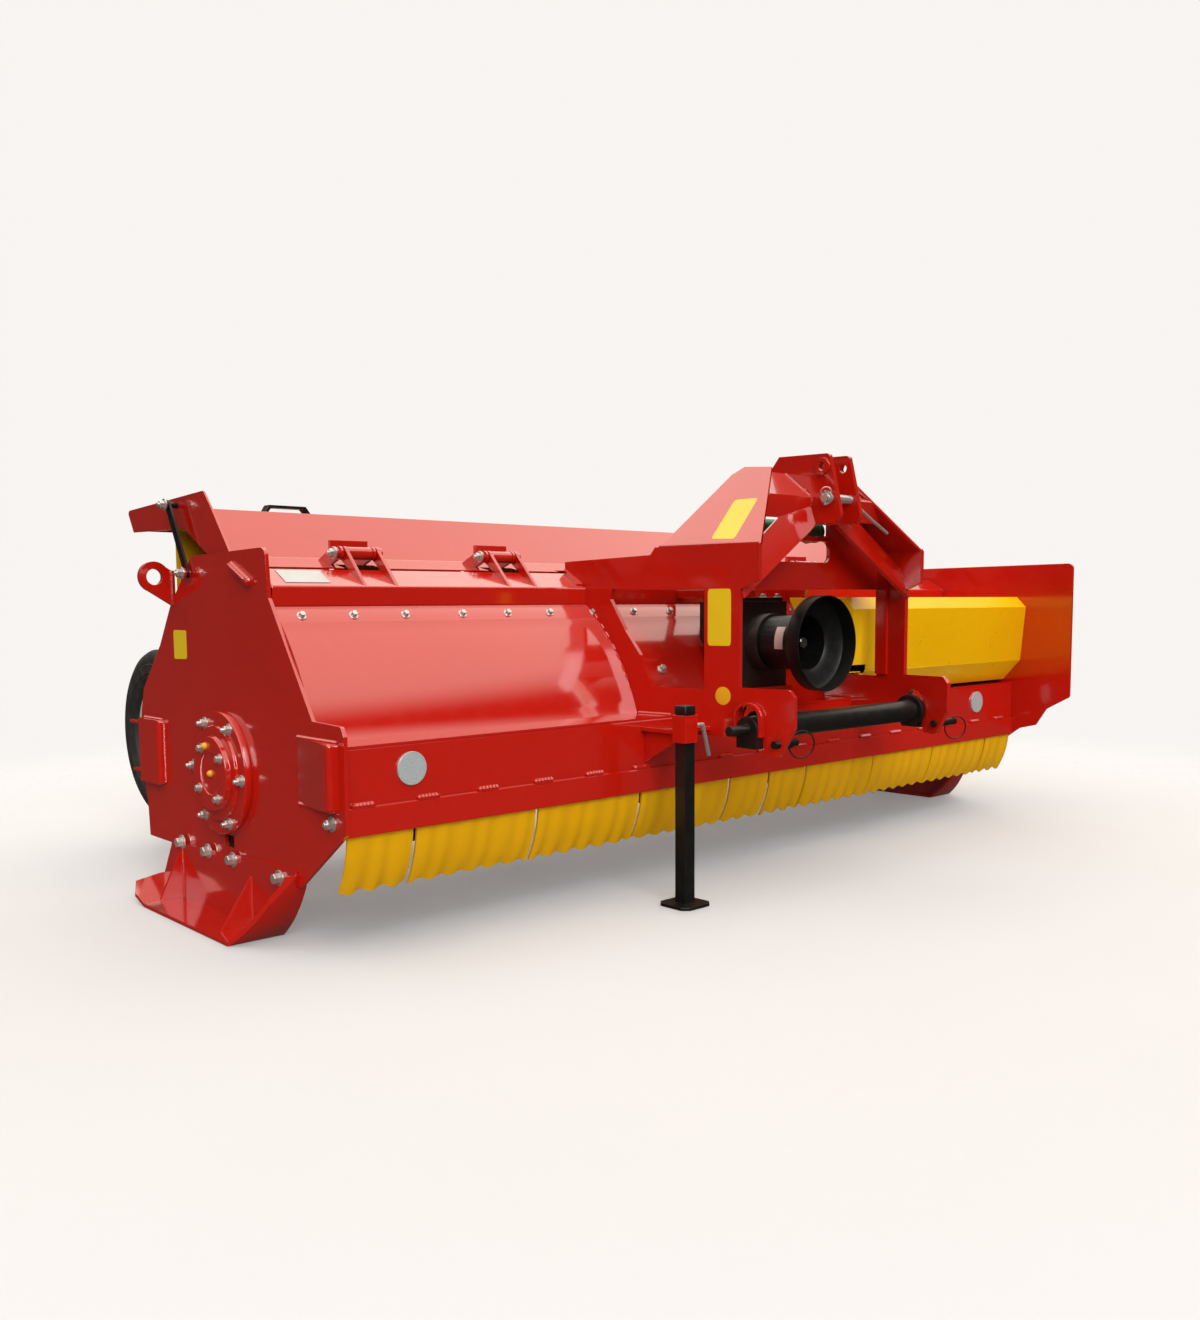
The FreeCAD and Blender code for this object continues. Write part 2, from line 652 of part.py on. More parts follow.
def gearbox_mount():
    foot = box(-GEARBOX_HALF - 12, GEARBOX_HALF + 12, 16, SHELF_DEPTH - 4, SHELF_Z, GEARBOX_LOW_Z)
    ears = [box(x, x + 14, GEARBOX_REAR_Y - 50, BEAM_FRONT_Y, GEARBOX_TOP_Z + 12, BEAM_TOP_Z - 6)
            for x in (-90, 76)]
    return [foot] + ears


def pto_shield():
    """A round shield open to the front: a straight band, a shoulder and a neck on the boss."""
    seat_y = GEARBOX_FRONT_Y - 46
    band_y = SHIELD_RIM_Y + SHIELD_BAND
    shoulder_y = band_y + 22
    rim, neck, t = SHIELD_RIM_R, SHIELD_NECK_R, SHIELD_T
    outside = [(seat_y, neck), (shoulder_y + 4, neck + 4), (shoulder_y - 4, neck + 20),
               (band_y + 8, rim - 14), (band_y, rim), (SHIELD_RIM_Y, rim)]
    inside = [(SHIELD_RIM_Y, rim - t), (band_y + 2, rim - t), (band_y + 10, rim - 16 - t),
              (shoulder_y - 2, neck + 18 - t), (shoulder_y + 6, neck + 4 - t),
              (seat_y - 8, neck - t), (seat_y - 8, neck - 26), (seat_y, neck - 26)]
    points = [V(r, y, INPUT_Z) for y, r in outside + inside]
    face = Part.Face(Part.makePolygon(points + points[:1]))
    return face.revolve(V(0, 0, INPUT_Z), V(0, 1, 0), 360)


def drive_tube():
    return rod((GEARBOX_HALF + 28, DRIVE_Y, DRIVE_Z), (COVER_LEFT_X, DRIVE_Y, DRIVE_Z), DRIVE_TUBE_R)


def drive_cover():
    """A hollow sheet box: a throat through the hitch plate's window, then the full height."""
    full = [(-12, 839), (-50, 800), (-31, 592), (39, 514), (112, 514), (128, 580), (176, 668),
            (232, 738), (300, 812), (300, 839)]
    full_inside = [(-10, 836), (-47, 799), (-28, 593), (40, 517), (109, 517), (125, 581),
                   (173, 669), (230, 740), (297, 813), (297, 836)]
    throat = [(-12, 839), (-50, 800), (-33, 600), (-28, 590), (66, 590), (108, 678), (163, 750),
              (214, 830), (214, 839)]
    throat_inside = [(-10, 836), (-47, 799), (-30, 600), (-26, 593), (64, 593), (105, 679),
                     (160, 751), (211, 831), (211, 836)]
    x0, x1, meet = COVER_LEFT_X, HALF, 530
    t, gap = COVER_T, COVER_PLATE_GAP
    inboard = flared(box(-300, gap, -300, 500, 400, 900))
    inboard_inside = flared(box(-300, gap + t, -300, 500, 400, 900))
    shell = join(prism(full, x0, x1).cut(inboard), prism(throat, x0, meet))
    hollow = join(prism(full_inside, x0, x1 - t).cut(inboard_inside),
                  prism(throat_inside, x0 + t, meet))
    notch = box(x0 - 1, x0 + 92, -60, -22, 560, 616)
    return shell.cut(hollow).cut(notch).cut(SKIN)


def stadium(x0, x1, inset):
    """The belt guard's outline: two circles and their common tangents."""
    ends = [(ROTOR_Y, ROTOR_Z, GUARD_LOW_R - inset), (DRIVE_Y, DRIVE_Z, GUARD_TOP_R - inset)]
    (y0, z0, r0), (y1, z1, r1) = ends
    distance = math.hypot(y1 - y0, z1 - z0)
    line = math.atan2(z1 - z0, y1 - y0)
    spread = math.acos((r0 - r1) / distance)
    band = [(y + r * math.cos(line + s * spread), z + r * math.sin(line + s * spread))
            for y, z, r, s in ((y0, z0, r0, 1), (y1, z1, r1, 1), (y1, z1, r1, -1), (y0, z0, r0, -1))]
    return join(prism(band, x0, x1), *[rod((x0, y, z), (x1, y, z), r) for y, z, r in ends])


def belt_guard():
    x0, x1 = OUTER_HALF, OVERALL_HALF
    return stadium(x0, x1, 0).cut(stadium(x0 - 1, x1 - GUARD_T, GUARD_T))


# ---- rotor -----------------------------------------------------------------------------

def bearing(side, capped):
    y, z, x = ROTOR_Y, ROTOR_Z, OUTER_HALF
    flange = rod((x, y, z), (x + FLANGE_T, y, z), FLANGE_R)
    hub = rod((x + FLANGE_T, y, z), (x + FLANGE_T + HUB_LENGTH, y, z), HUB_R)
    ring = rod((x + FLANGE_T, y, z), (x + FLANGE_T + 8, y, z), HUB_R + 26)
    depth = FLANGE_T + HUB_LENGTH - CAP_T if capped else FLANGE_T + HUB_LENGTH + 1
    bore = rod((x - 1, y, z), (x + depth, y, z), SHAFT_R + RUNNING_GAP)
    housing = join(flange, hub, ring).cut(bore)
    if capped:
        recess = rod((x + FLANGE_T + HUB_LENGTH - 4, y, z), (x + FLANGE_T + HUB_LENGTH, y, z), 56)
        housing = housing.cut(recess)
    return housing if side > 0 else mirror(housing)


def rotor():
    y, z = ROTOR_Y, ROTOR_Z
    end = HALF - ROTOR_END_GAP
    left_tip = OUTER_HALF + FLANGE_T + HUB_LENGTH - CAP_T - 3
    right_tip = OVERALL_HALF - GUARD_T - 10
    tube_body = rod((-end, y, z), (end, y, z), ROTOR_TUBE_R)
    shaft = rod((-left_tip, y, z), (right_tip, y, z), SHAFT_R)
    pulley = rod((right_tip - 6 - PULLEY_T * 0.6, y, z), (right_tip - 6, y, z), PULLEY_R)
    lugs = [hammer_lug(x, angle) for x, angle in hammer_places()]
    return join(tube_body, shaft, pulley, *lugs)


def hammer_places():
    """Four helical rows round the tube: (x, degrees) of each hammer."""
    pitch = (WORK_WIDTH - 2 * ROTOR_END_GAP - HAMMER_WIDTH) / (HAMMER_ROWS * HAMMERS_PER_ROW - 1)
    start = -HALF + ROTOR_END_GAP + HAMMER_WIDTH / 2
    return [(start + i * pitch, i * 360.0 / HAMMER_ROWS + i * 11.25)
            for i in range(HAMMER_ROWS * HAMMERS_PER_ROW)]


def turned(shape, angle):
    shape.rotate(V(0, ROTOR_Y, ROTOR_Z), V(1, 0, 0), angle)
    return shape


def hammer_lug(x, angle):
    """Two ears welded to the tube, which carry one hammer's pin."""
    r = ROTOR_TUBE_R
    ears = []
    for side in (-1, 1):
        x0 = x + side * 22 - 5
        ear = prism([(ROTOR_Y - 34, ROTOR_Z + r - 12), (ROTOR_Y + 34, ROTOR_Z + r - 12),
                     (ROTOR_Y + 18, ROTOR_Z + r + 48), (ROTOR_Y - 18, ROTOR_Z + r + 48)], x0, x0 + 10)
        ears.append(ear)
    return turned(join(ears[0], rod((x - 26, ROTOR_Y, ROTOR_Z + r + 30),
                                    (x + 26, ROTOR_Y, ROTOR_Z + r + 30), 10), ears[1]), angle)


def hammer(x, angle):
    """A flail hammer: a shank round the pin and a broad cutting head."""
    base = ROTOR_Z + ROTOR_TUBE_R
    tip = ROTOR_Z + HAMMER_TIP_R
    shank = box(x - 15, x + 15, ROTOR_Y - 20, ROTOR_Y + 20, base + 14, tip - 60)
    head = prism([(ROTOR_Y - 26, tip - 78), (ROTOR_Y + 26, tip - 78), (ROTOR_Y + 34, tip - 8),
                  (ROTOR_Y - 34, tip - 8)], x - HAMMER_WIDTH / 2, x + HAMMER_WIDTH / 2)
    bore = rod((x - 16, ROTOR_Y, base + 30), (x + 16, ROTOR_Y, base + 30), 10.1)
    return turned(join(shank, head).cut(bore), angle)


# ---- skids -----------------------------------------------------------------------------

def skid(side):
    """Side plate, sole with a rolled-up front and a turned-up tail, and two gussets, welded."""
    inner, outer = SKID_INNER_HALF, OVERALL_HALF
    wall0, wall1 = OUTER_HALF, OUTER_HALF + SKID_T
    front, rear, t = SKID_FLAT_FRONT_Y, SKID_FLAT_REAR_Y, SKID_SOLE_T
    sole = box(inner, outer, front, rear, 0, t)
    run, rise = SKID_TAIL_RUN, SKID_TAIL_RISE
    tail = prism([(rear, 0), (rear + run, rise), (rear + run - 3, rise + t), (rear - 3, t)], inner, outer)
    tail = tail.cut(plan_block([(outer + 1, rear + 61), (outer, rear + 61), (outer - 26, rear + 121),
                                (wall1, rear + run), (wall1, rear + run + 9), (outer + 1, rear + run + 9)],
                               -1, 80))
    cy, cz = SKID_ROLL
    radius = math.hypot(cy - front, cz)
    ring = tube((inner, cy, cz), (outer, cy, cz), radius, radius - t)
    roll = ring.common(box(inner, outer, cy - radius - 1, front, 0, SKID_TOP_Z - 11))
    roll = roll.cut(plan_block([(outer + 9, front), (outer, front), (outer - 32, front - 58),
                                (outer - 62, front - 106), (wall1 + 12, front - 132),
                                (wall1 - 2, front - 143), (wall1 - 2, front - 200),
                                (outer + 9, front - 200)], -1, 300))
    roll = roll.cut(box(inner - 1, wall0, cy - radius - 1, front, 148, 300))
    wall = prism([(200, SKID_TOP_Z), (392, SKID_TOP_Z - 2), (rear + 71, 155), (rear + 139, 48),
                  (rear, t / 2), (front - 47, t / 2), (200, 60)], wall0, wall1)
    keep = join(rod((wall0, cy, cz), (wall1, cy, cz), radius - t / 3),
                box(wall0, wall1, front, rear + 200, 0, 400))
    gussets = [gusset(rear - 2, wall1, wall1 + 69, 154), gusset(442, wall1, wall1 + 87, 140)]
    body = join(sole, tail, roll, wall.common(keep), *gussets)
    return body if side > 0 else mirror(body)


def gusset(y, x0, x1, top_z):
    return front_block([(x0 - 1, SKID_SOLE_T - 2), (x1, SKID_SOLE_T - 2), (x0, top_z), (x0 - 1, top_z)],
                       y, y + 10)


# ---- parking leg -----------------------------------------------------------------------

def parking_leg():
    h = LEG_SIZE / 2
    leg = box(LEG_X - h, LEG_X + h, LEG_Y - h, LEG_Y + h, FOOT_T, LEG_TOP_Z)
    f = FOOT_SIZE / 2
    foot = box(LEG_X - f, LEG_X + f, LEG_Y - f, LEG_Y + f, 0, FOOT_T)
    corners = [edge for edge in foot.Edges if edge.BoundBox.ZLength > FOOT_T - 1]
    return join(leg, foot.makeChamfer(18, corners))


def stand_sleeve():
    """The leg's square sleeve with the bracket that carries it on the box beam."""
    inner = LEG_SIZE / 2 + LEG_GAP
    outer = inner + SLEEVE_WALL
    sleeve = box(LEG_X - outer, LEG_X + outer, LEG_Y - outer, LEG_Y + outer, SLEEVE_LOW_Z, SLEEVE_TOP_Z)
    arm = box(LEG_X - 20, -hitch_half(LEG_Y) + 40, LEG_Y + outer - 4, 0, 470, 482)
    web = prism([(LEG_Y + outer - 2, 470), (LEG_Y + outer - 2, 452), (0, 380), (0, 470)],
                LEG_X - 6, LEG_X + 6)
    body = join(sleeve, arm, web)
    hollow = box(LEG_X - inner, LEG_X + inner, LEG_Y - inner, LEG_Y + inner, SLEEVE_LOW_Z - 1, SLEEVE_TOP_Z + 1)
    return body.cut(hollow).cut(mirror(hitch_plate())).cut(stand_pin())


def stand_pin():
    z = 492.0
    x0 = LEG_X + LEG_SIZE / 2 + LEG_GAP
    shank = rod((x0, LEG_Y, z), (LEG_X + 70, LEG_Y, z), 6)
    bend = Part.makeSphere(6, V(LEG_X + 70, LEG_Y, z))
    drop = rod((LEG_X + 70, LEG_Y, z), (LEG_X + 96, LEG_Y, z - 88), 6)
    return join(shank, bend, drop)


# ---- rear hood -------------------------------------------------------------------------

def hinge_places():
    return [side * x for side in (-1, 1) for x in HINGE_X]


def hinge_brackets():
    """Frame cheeks with their pin, one set for each hinge."""
    sets = []
    for middle in hinge_places():
        x0, x1 = middle - HINGE_SPAN / 2, middle + HINGE_SPAN / 2
        cheeks = []
        for start in (x0, x1 - HINGE_T):
            nose = rod((start, HINGE_Y, HINGE_Z), (start + HINGE_T, HINGE_Y, HINGE_Z), HINGE_NOSE_R)
            web = prism([(322, BEAM_TOP_Z + 3), (388, BEAM_REAR_TOP_Z - 7), (438, HINGE_Z - 13),
                         (416, HINGE_Z + 15)], start, start + HINGE_T)
            cheeks.append(join(nose, web))
        pin = rod((x0 - 25, HINGE_Y, HINGE_Z), (x1 + 9, HINGE_Y, HINGE_Z), HINGE_PIN_R)
        heads = [rod((x, HINGE_Y, HINGE_Z), (x + 8, HINGE_Y, HINGE_Z), 15) for x in (x0 - 25, x1 + 1)]
        sets.append(join(*cheeks, pin, *heads).cut(SKIN))
    return sets


def hood_outline():
    """The hood sheet's side view: lower strip, steep panel, roof and rear lip."""
    return bent_sheet([HOOD_SEAM, HOOD_BEND, HOOD_RIDGE, HOOD_REAR, HOOD_LIP], HOOD_T)


def hood_sheet():
    half = HALF - HOOD_END_GAP - HOOD_END_T
    sheet = prism(hood_outline(), -half, half)
    front, low, high = HOOD_SEAM[0] - 20, 880, 1000
    for middle in hinge_places():
        w = HINGE_SPAN / 2 + 6
        sheet = sheet.cut(box(middle - w, middle + w, front, HINGE_Y + 34, low, high))
    # a notch lets the closed hood's edge pass each hitch plate
    plate_x = hitch_half(BEAM_REAR_Y)
    notch = box(plate_x - HITCH_T - 30, plate_x + 20, front, HOOD_SEAM[0] + 25, low, high)
    return sheet.cut(notch).cut(mirror(notch))


def hood_end():
    (by, bz), (ry, rz) = HOOD_BEND, HOOD_RIDGE
    outline = [(705, 1128), (1232, 1106), (1190, 1041), (948, 1036), (833, 1035), (706, 966),
               (by, bz - 26), (470, 912), (468, 938), (by - 3, bz + 5), (ry - 2, rz + 4)]
    x0 = HALF - HOOD_END_GAP - HOOD_END_T
    end = prism(outline, x0, x0 + HOOD_END_T)
    return round_corners(end, 10, [(705, 1128), (1232, 1106)])


def hood_ears():
    """Two ears and a bridge for each hinge, welded on the hood's lower strip."""
    sets = []
    (sy, sz), (by, bz) = HOOD_SEAM, HOOD_BEND
    rise = (bz - sz) / (by - sy)
    y0, y1 = HINGE_Y + 40, HINGE_Y + 108
    foot = [(y0, sz - HOOD_T / 2 + (y0 - sy) * rise), (y1, sz - HOOD_T / 2 + (y1 - sy) * rise)]
    sheet = hood_sheet()
    for middle in hinge_places():
        ears = []
        for start in (middle - HINGE_SPAN / 2 - 13, middle + HINGE_SPAN / 2 - HINGE_T - 11):
            nose = rod((start, HINGE_Y, HINGE_Z), (start + 8, HINGE_Y, HINGE_Z), HINGE_NOSE_R)
            web = prism([(HINGE_Y + 6, HINGE_Z - 17), foot[0], foot[1], (HINGE_Y + 30, HINGE_Z + 16),
                         (HINGE_Y - 6, HINGE_Z + 17)], start, start + 8)
            ears.append(join(nose, web))
        bridge = prism([(HINGE_Y + 26, HINGE_Z + 8), (HINGE_Y + 38, HINGE_Z + 8),
                        (HINGE_Y + 38, HINGE_Z + 34), (HINGE_Y + 26, HINGE_Z + 34)],
                       middle - HINGE_SPAN / 2 - 19, middle + HINGE_SPAN / 2 - HINGE_T - 3)
        bore = rod((middle - 90, HINGE_Y, HINGE_Z), (middle + 90, HINGE_Y, HINGE_Z),
                   HINGE_PIN_R + RUNNING_GAP)
        sets.append(join(*ears, bridge).cut(bore).cut(sheet))
    return sets


def hood_handle():
    """A bent flat bar on the hood's roof, near the left end."""
    foot_z, top_z = HOOD_RIDGE[1] - 1, HOOD_RIDGE[1] + 21
    bar = front_block([(-1325, foot_z), (-1311, top_z), (-1200, top_z), (-1183, foot_z),
                       (-1193, foot_z), (-1206, top_z - 8), (-1305, top_z - 8), (-1315, foot_z)],
                      HOOD_RIDGE[0] + 26, HOOD_RIDGE[0] + 56)
    return bar.cut(hood_sheet())


def curtain_rod():
    half = HALF - HOOD_END_GAP - HOOD_END_T
    rod_bar = rod((-half, CURTAIN_Y, CURTAIN_Z), (half, CURTAIN_Y, CURTAIN_Z), CURTAIN_ROD_R)
    hangers = []
    for i in range(1, CURTAIN_STRIPS):
        x = -half + i * 2 * half / CURTAIN_STRIPS
        hangers.append(box(x - 4, x + 4, CURTAIN_Y - 10, CURTAIN_Y + 10, CURTAIN_Z + 2, 1077))
    return join(rod_bar, *hangers).cut(prism(hood_outline(), -half - 1, half + 1))


def curtain():
    """Yellow rubber strips on tubes that swing freely round the rod."""
    half = HALF - HOOD_END_GAP - HOOD_END_T
    width = 2 * half / CURTAIN_STRIPS
    strips = []
    for i in range(CURTAIN_STRIPS):
        x0 = -half + i * width + 8
        x1 = x0 + width - 16
        sleeve = tube((x0, CURTAIN_Y, CURTAIN_Z), (x1, CURTAIN_Y, CURTAIN_Z), 13,
                      CURTAIN_ROD_R + RUNNING_GAP)
        low = CURTAIN_Z - CURTAIN_DROP
        strip = box(x0, x1, CURTAIN_Y - CURTAIN_T / 2, CURTAIN_Y + CURTAIN_T / 2, low, CURTAIN_Z - 10)
        strips.append(join(sleeve, strip))
    return strips


def hood_stay(side):
    """A flat prop on the side plate's stud, with the bolt that holds the hood at its top."""
    (y0, z0), (y1, z1) = STAY_LOW, STAY_TOP
    x0 = OUTER_HALF + 4
    x1 = x0 + STAY_T
    length = math.hypot(y1 - y0, z1 - z0)
    angle = math.degrees(math.atan2(z1 - z0, y1 - y0))
    w = STAY_WIDTH / 2
    bar = join(box(x0, x1, y0, y0 + length, z0 - w, z0 + w),
               rod((x0, y0, z0), (x1, y0, z0), w), rod((x0, y0 + length, z0), (x1, y0 + length, z0), w))
    bar = bar.cut(rod((x0 - 1, y0, z0), (x1 + 1, y0, z0), STUD_R + RUNNING_GAP))
    bar.rotate(V(0, y0, z0), V(1, 0, 0), angle)
    face = HALF - HOOD_END_GAP + 0.5
    bolt = join(rod((face, y1, z1), (x1 + 6, y1, z1), STUD_R), rod((x1, y1, z1), (x1 + 7, y1, z1), 14))
    stay = join(bar, bolt)
    return stay if side > 0 else mirror(stay)


# ---- rear wheels -----------------------------------------------------------------------

def rear_tube():
    s = REAR_TUBE_SIZE / 2
    y, z = REAR_TUBE_Y, WHEEL_Z
    outer = box(-HALF, HALF, y - s, y + s, z - s, z + s)
    return outer.cut(box(-HALF - 1, HALF + 1, y - s + 6, y + s - 6, z - s + 6, z + s - 6))


def wheel_arm(side):
    """A single arm inboard of the wheel, with the stub axle that points outwards."""
    s = WHEEL_ARM_SIZE / 2
    x1 = ARM_FACE_X
    x0 = x1 - WHEEL_ARM_SIZE
    start = REAR_TUBE_Y + REAR_TUBE_SIZE / 2
    arm = box(x0, x1, start, WHEEL_Y + 50, WHEEL_Z - s, WHEEL_Z + s)
    plate = box(x0 - 30, x1 + 30, start, start + 12, WHEEL_Z - 60, WHEEL_Z + 60)
    collar = rod((x1, WHEEL_Y, WHEEL_Z), (x1 + ARM_COLLAR, WHEEL_Y, WHEEL_Z), 34)
    tip = wheel_middle() + AXLE_PAST_MIDDLE
    axle = rod((x1, WHEEL_Y, WHEEL_Z), (tip, WHEEL_Y, WHEEL_Z), AXLE_R)
    body = join(arm, plate, collar, axle)
    return body if side > 0 else mirror(body)


def wheel_middle():
    return WHEEL_OUTER_X - TYRE_WIDTH / 2


def tyre(side):
    """A rounded tyre carcass, turned from one profile."""
    w, r = TYRE_WIDTH / 2, TYRE_R
    x = wheel_middle()
    profile = [(-w + 22, RIM_R), (-w, RIM_R + 34), (-w, r - 54), (-w + 14, r - 18), (-w + 44, r),
               (w - 44, r), (w - 14, r - 18), (w, r - 54), (w, RIM_R + 34), (w - 22, RIM_R)]
    points = [V(x + px, WHEEL_Y, WHEEL_Z + pr) for px, pr in profile]
    face = Part.Face(Part.makePolygon(points + points[:1]))
    body = face.revolve(V(x, WHEEL_Y, WHEEL_Z), V(1, 0, 0), 360)
    return body if side > 0 else mirror(body)


def rim(side):
    x, y, z = wheel_middle(), WHEEL_Y, WHEEL_Z
    w = TYRE_WIDTH / 2 - 22
    band = tube((x - w, y, z), (x + w, y, z), RIM_R, RIM_R - 10)
    disc = rod((x + 8, y, z), (x + 18, y, z), RIM_R - 5)
    hub_start = ARM_FACE_X + ARM_COLLAR + HUB_GAP
    hub = rod((hub_start, y, z), (x + AXLE_PAST_MIDDLE + 8, y, z), 46)
    bore = rod((hub_start - 1, y, z), (x + AXLE_PAST_MIDDLE + 0.5, y, z), AXLE_R + RUNNING_GAP)
    body = join(band, disc, hub).cut(bore)
    return body if side > 0 else mirror(body)


def nameplate():
    """A blank data plate on the beam's sloping top, towards the left end."""
    x0, x1 = -1455.0, -1332.0
    slope = BEAM_SLOPE_RISE / BEAM_DEPTH
    y0, y1 = 332.0, 388.0
    z0, z1 = (BEAM_TOP_Z + (y - BEAM_FRONT_Y) * slope for y in (y0, y1))
    return prism([(y0, z0), (y1, z1), (y1, z1 + 2), (y0, z0 + 2)], x0, x1)


def reflector(x):
    return rod((x, 0, 441), (x, -6, 441), 40)


# ---- write every node ------------------------------------------------------------------

def main():
    os.makedirs("parts", exist_ok=True)
    save("side_plate_left", side_plate_left())
    save("side_plate_right", side_plate_right())
    save("lifting_lugs", lifting_lug(-1), lifting_lug(1))
    save("housing_sheet", housing_sheet())
    save("box_beam", box_beam())
    save("front_rail", front_rail())
    save("top_beam", top_beam())
    save("front_flaps", *front_flaps())
    save("reflectors", reflector(-1322), reflector(1227))
    save("nameplate", nameplate())

    plate = hitch_plate()
    save("hitch_plate_left", mirror(plate))
    save("hitch_plate_right", plate)
    saddle = hitch_saddle()
    save("hitch_saddles", mirror(saddle), saddle)
    save("lower_link_bar", lower_link_bar())
    save("retaining_pins", *retaining_pins())
    sheet = mast_sheet()
    save("mast_sheet_left", mirror(sheet))
    save("mast_sheet_right", sheet)
    save("mast_head", mast_head())
    save("top_link_pin", top_link_pin())
    brace = mast_brace()
    save("mast_braces", mirror(brace), brace)
    save("mast_cross", mast_cross())

    save("gearbox", gearbox())
    save("gearbox_mount", *gearbox_mount())
    save("input_shaft", input_shaft())
    save("pto_shield", pto_shield())
    save("drive_tube", drive_tube())
    save("drive_cover", drive_cover())
    save("belt_guard", belt_guard())

    save("rotor_bearing_left", bearing(-1, True))
    save("rotor_bearing_right", bearing(1, False))
    save("rotor", rotor())
    save("hammers", *[hammer(x, angle) for x, angle in hammer_places()])

    save("skid_left", skid(-1))
    save("skid_right", skid(1))
    save("parking_leg", parking_leg())
    save("stand_sleeve", stand_sleeve())
    save("stand_pin", stand_pin())

    save("hinge_brackets", *hinge_brackets())
    save("hood_sheet", hood_sheet())
    end = hood_end()
    save("hood_end_left", mirror(end))
    save("hood_end_right", end)
    save("hood_ears", *hood_ears())
    save("hood_handle", hood_handle())
    save("curtain_rod", curtain_rod())
    save("rear_curtain", *curtain())
    save("hood_stay_left", hood_stay(-1))
    save("hood_stay_right", hood_stay(1))

    save("rear_tube", rear_tube())
    for side, name in ((-1, "left"), (1, "right")):
        save(f"wheel_arm_{name}", wheel_arm(side))
        save(f"tyre_{name}", tyre(side))
        save(f"rim_{name}", rim(side))


main()
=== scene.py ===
# %% [markdown]
# # A tractor-mounted flail mulcher
# The machine hangs on a tractor's three-point hitch and shreds what stands in its way.
# Its solid shapes come ready made from the construction model, the frame.
# This lesson dresses that frame: paint, rubber, bolts, welds and light.
# Blender keeps every frame piece where it is, so nothing here can drift from the real sizes.

# %% Load the frame
import json
import math
import random
import bmesh
import bpy
from mathutils import Matrix, Vector


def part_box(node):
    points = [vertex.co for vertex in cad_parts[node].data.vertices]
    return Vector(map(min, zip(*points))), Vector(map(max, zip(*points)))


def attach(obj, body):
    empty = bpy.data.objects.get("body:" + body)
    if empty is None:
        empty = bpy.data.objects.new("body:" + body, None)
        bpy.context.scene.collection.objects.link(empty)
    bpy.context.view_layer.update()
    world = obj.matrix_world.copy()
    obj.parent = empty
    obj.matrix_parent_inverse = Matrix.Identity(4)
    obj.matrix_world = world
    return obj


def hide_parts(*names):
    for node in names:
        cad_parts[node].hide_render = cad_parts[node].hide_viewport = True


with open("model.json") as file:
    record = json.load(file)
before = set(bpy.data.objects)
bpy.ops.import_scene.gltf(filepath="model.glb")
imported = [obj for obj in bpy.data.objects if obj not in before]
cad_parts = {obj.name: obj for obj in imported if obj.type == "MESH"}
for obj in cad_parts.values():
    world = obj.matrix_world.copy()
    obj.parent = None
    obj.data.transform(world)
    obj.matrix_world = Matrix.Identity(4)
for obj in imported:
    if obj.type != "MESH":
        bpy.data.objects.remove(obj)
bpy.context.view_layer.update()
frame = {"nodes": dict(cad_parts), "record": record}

# %% [markdown]
# Sizes below are in millimetres, because that is how a workshop drawing gives them.
# They are measured from the front face of the long box beam, the part that everything
# else is welded to. One function carries such a place into the frame, which is in metres.

# %% Places in millimetres
MM = 0.001
BEAM_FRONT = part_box("box_beam")[0].y
X_AXIS, Y_AXIS, Z_AXIS = Vector((1, 0, 0)), Vector((0, 1, 0)), Vector((0, 0, 1))


def place(x, y, z):
    """A point given in millimetres from the beam's front, as the frame holds it."""
    return Vector((x * MM, BEAM_FRONT + y * MM, z * MM))


def both_sides(places):
    """The same places on the left and on the right of the machine."""
    return [(side * x, y, z) for side in (-1, 1) for x, y, z in places]


print("the beam's front stands at y =", round(BEAM_FRONT, 4))

# %% [markdown]
# ## Finishes
# A shader wants linear light, while a paint chart gives sRGB hex values. One function
# turns the second into the first. A second function adds any node with its inputs,
# its settings and its links in one line, so each material reads like a recipe.

# %% Colour and node helpers
def paint(hex_value):
    """An sRGB hex value as linear red, green, blue and alpha."""
    channels = [int(hex_value[i:i + 2], 16) / 255 for i in (1, 3, 5)]
    return [c / 12.92 if c <= 0.04045 else ((c + 0.055) / 1.055) ** 2.4 for c in channels] + [1]


def add(tree, kind, inputs=None, **settings):
    """Adds a node. An input takes a value, or another node's output as a link."""
    made = tree.nodes.new(kind)
    for name, value in settings.items():
        setattr(made, name, value)
    for name, value in (inputs or {}).items():
        if isinstance(value, bpy.types.NodeSocket):
            tree.links.new(value, made.inputs[name])
        else:
            made.inputs[name].default_value = value
    return made


def per_metre(millimetres):
    """The scale that gives a pattern cells of that many millimetres."""
    return 1000.0 / millimetres


def blank_material(name):
    """A new material whose node tree is still empty."""
    material = bpy.data.materials.new(name)
    material.use_nodes = True
    material.node_tree.nodes.clear()
    return material, material.node_tree


ENAMEL_REDS = ("#BB1708", "#B11306")
print("enamel red in linear light:", [round(c, 3) for c in paint(ENAMEL_REDS[0])])

# %% [markdown]
# Most finishes here are the same three layers: a colour that drifts a little, a gloss
# that is dulled where dust lies, and a bump at three sizes. The broad bump is the sheet
# itself, which is never quite flat, and bends the reflections. The fine bump is the skin of
# the coat, such as the orange peel of sprayed enamel. Faint specks of grit lie over both.
# So one recipe takes the numbers.

# %% The layered finish
DUST = "#9A8C78"
COAT_ROUGHNESS = 0.08
print("field dust in linear light:", [round(c, 3) for c in paint(DUST)])


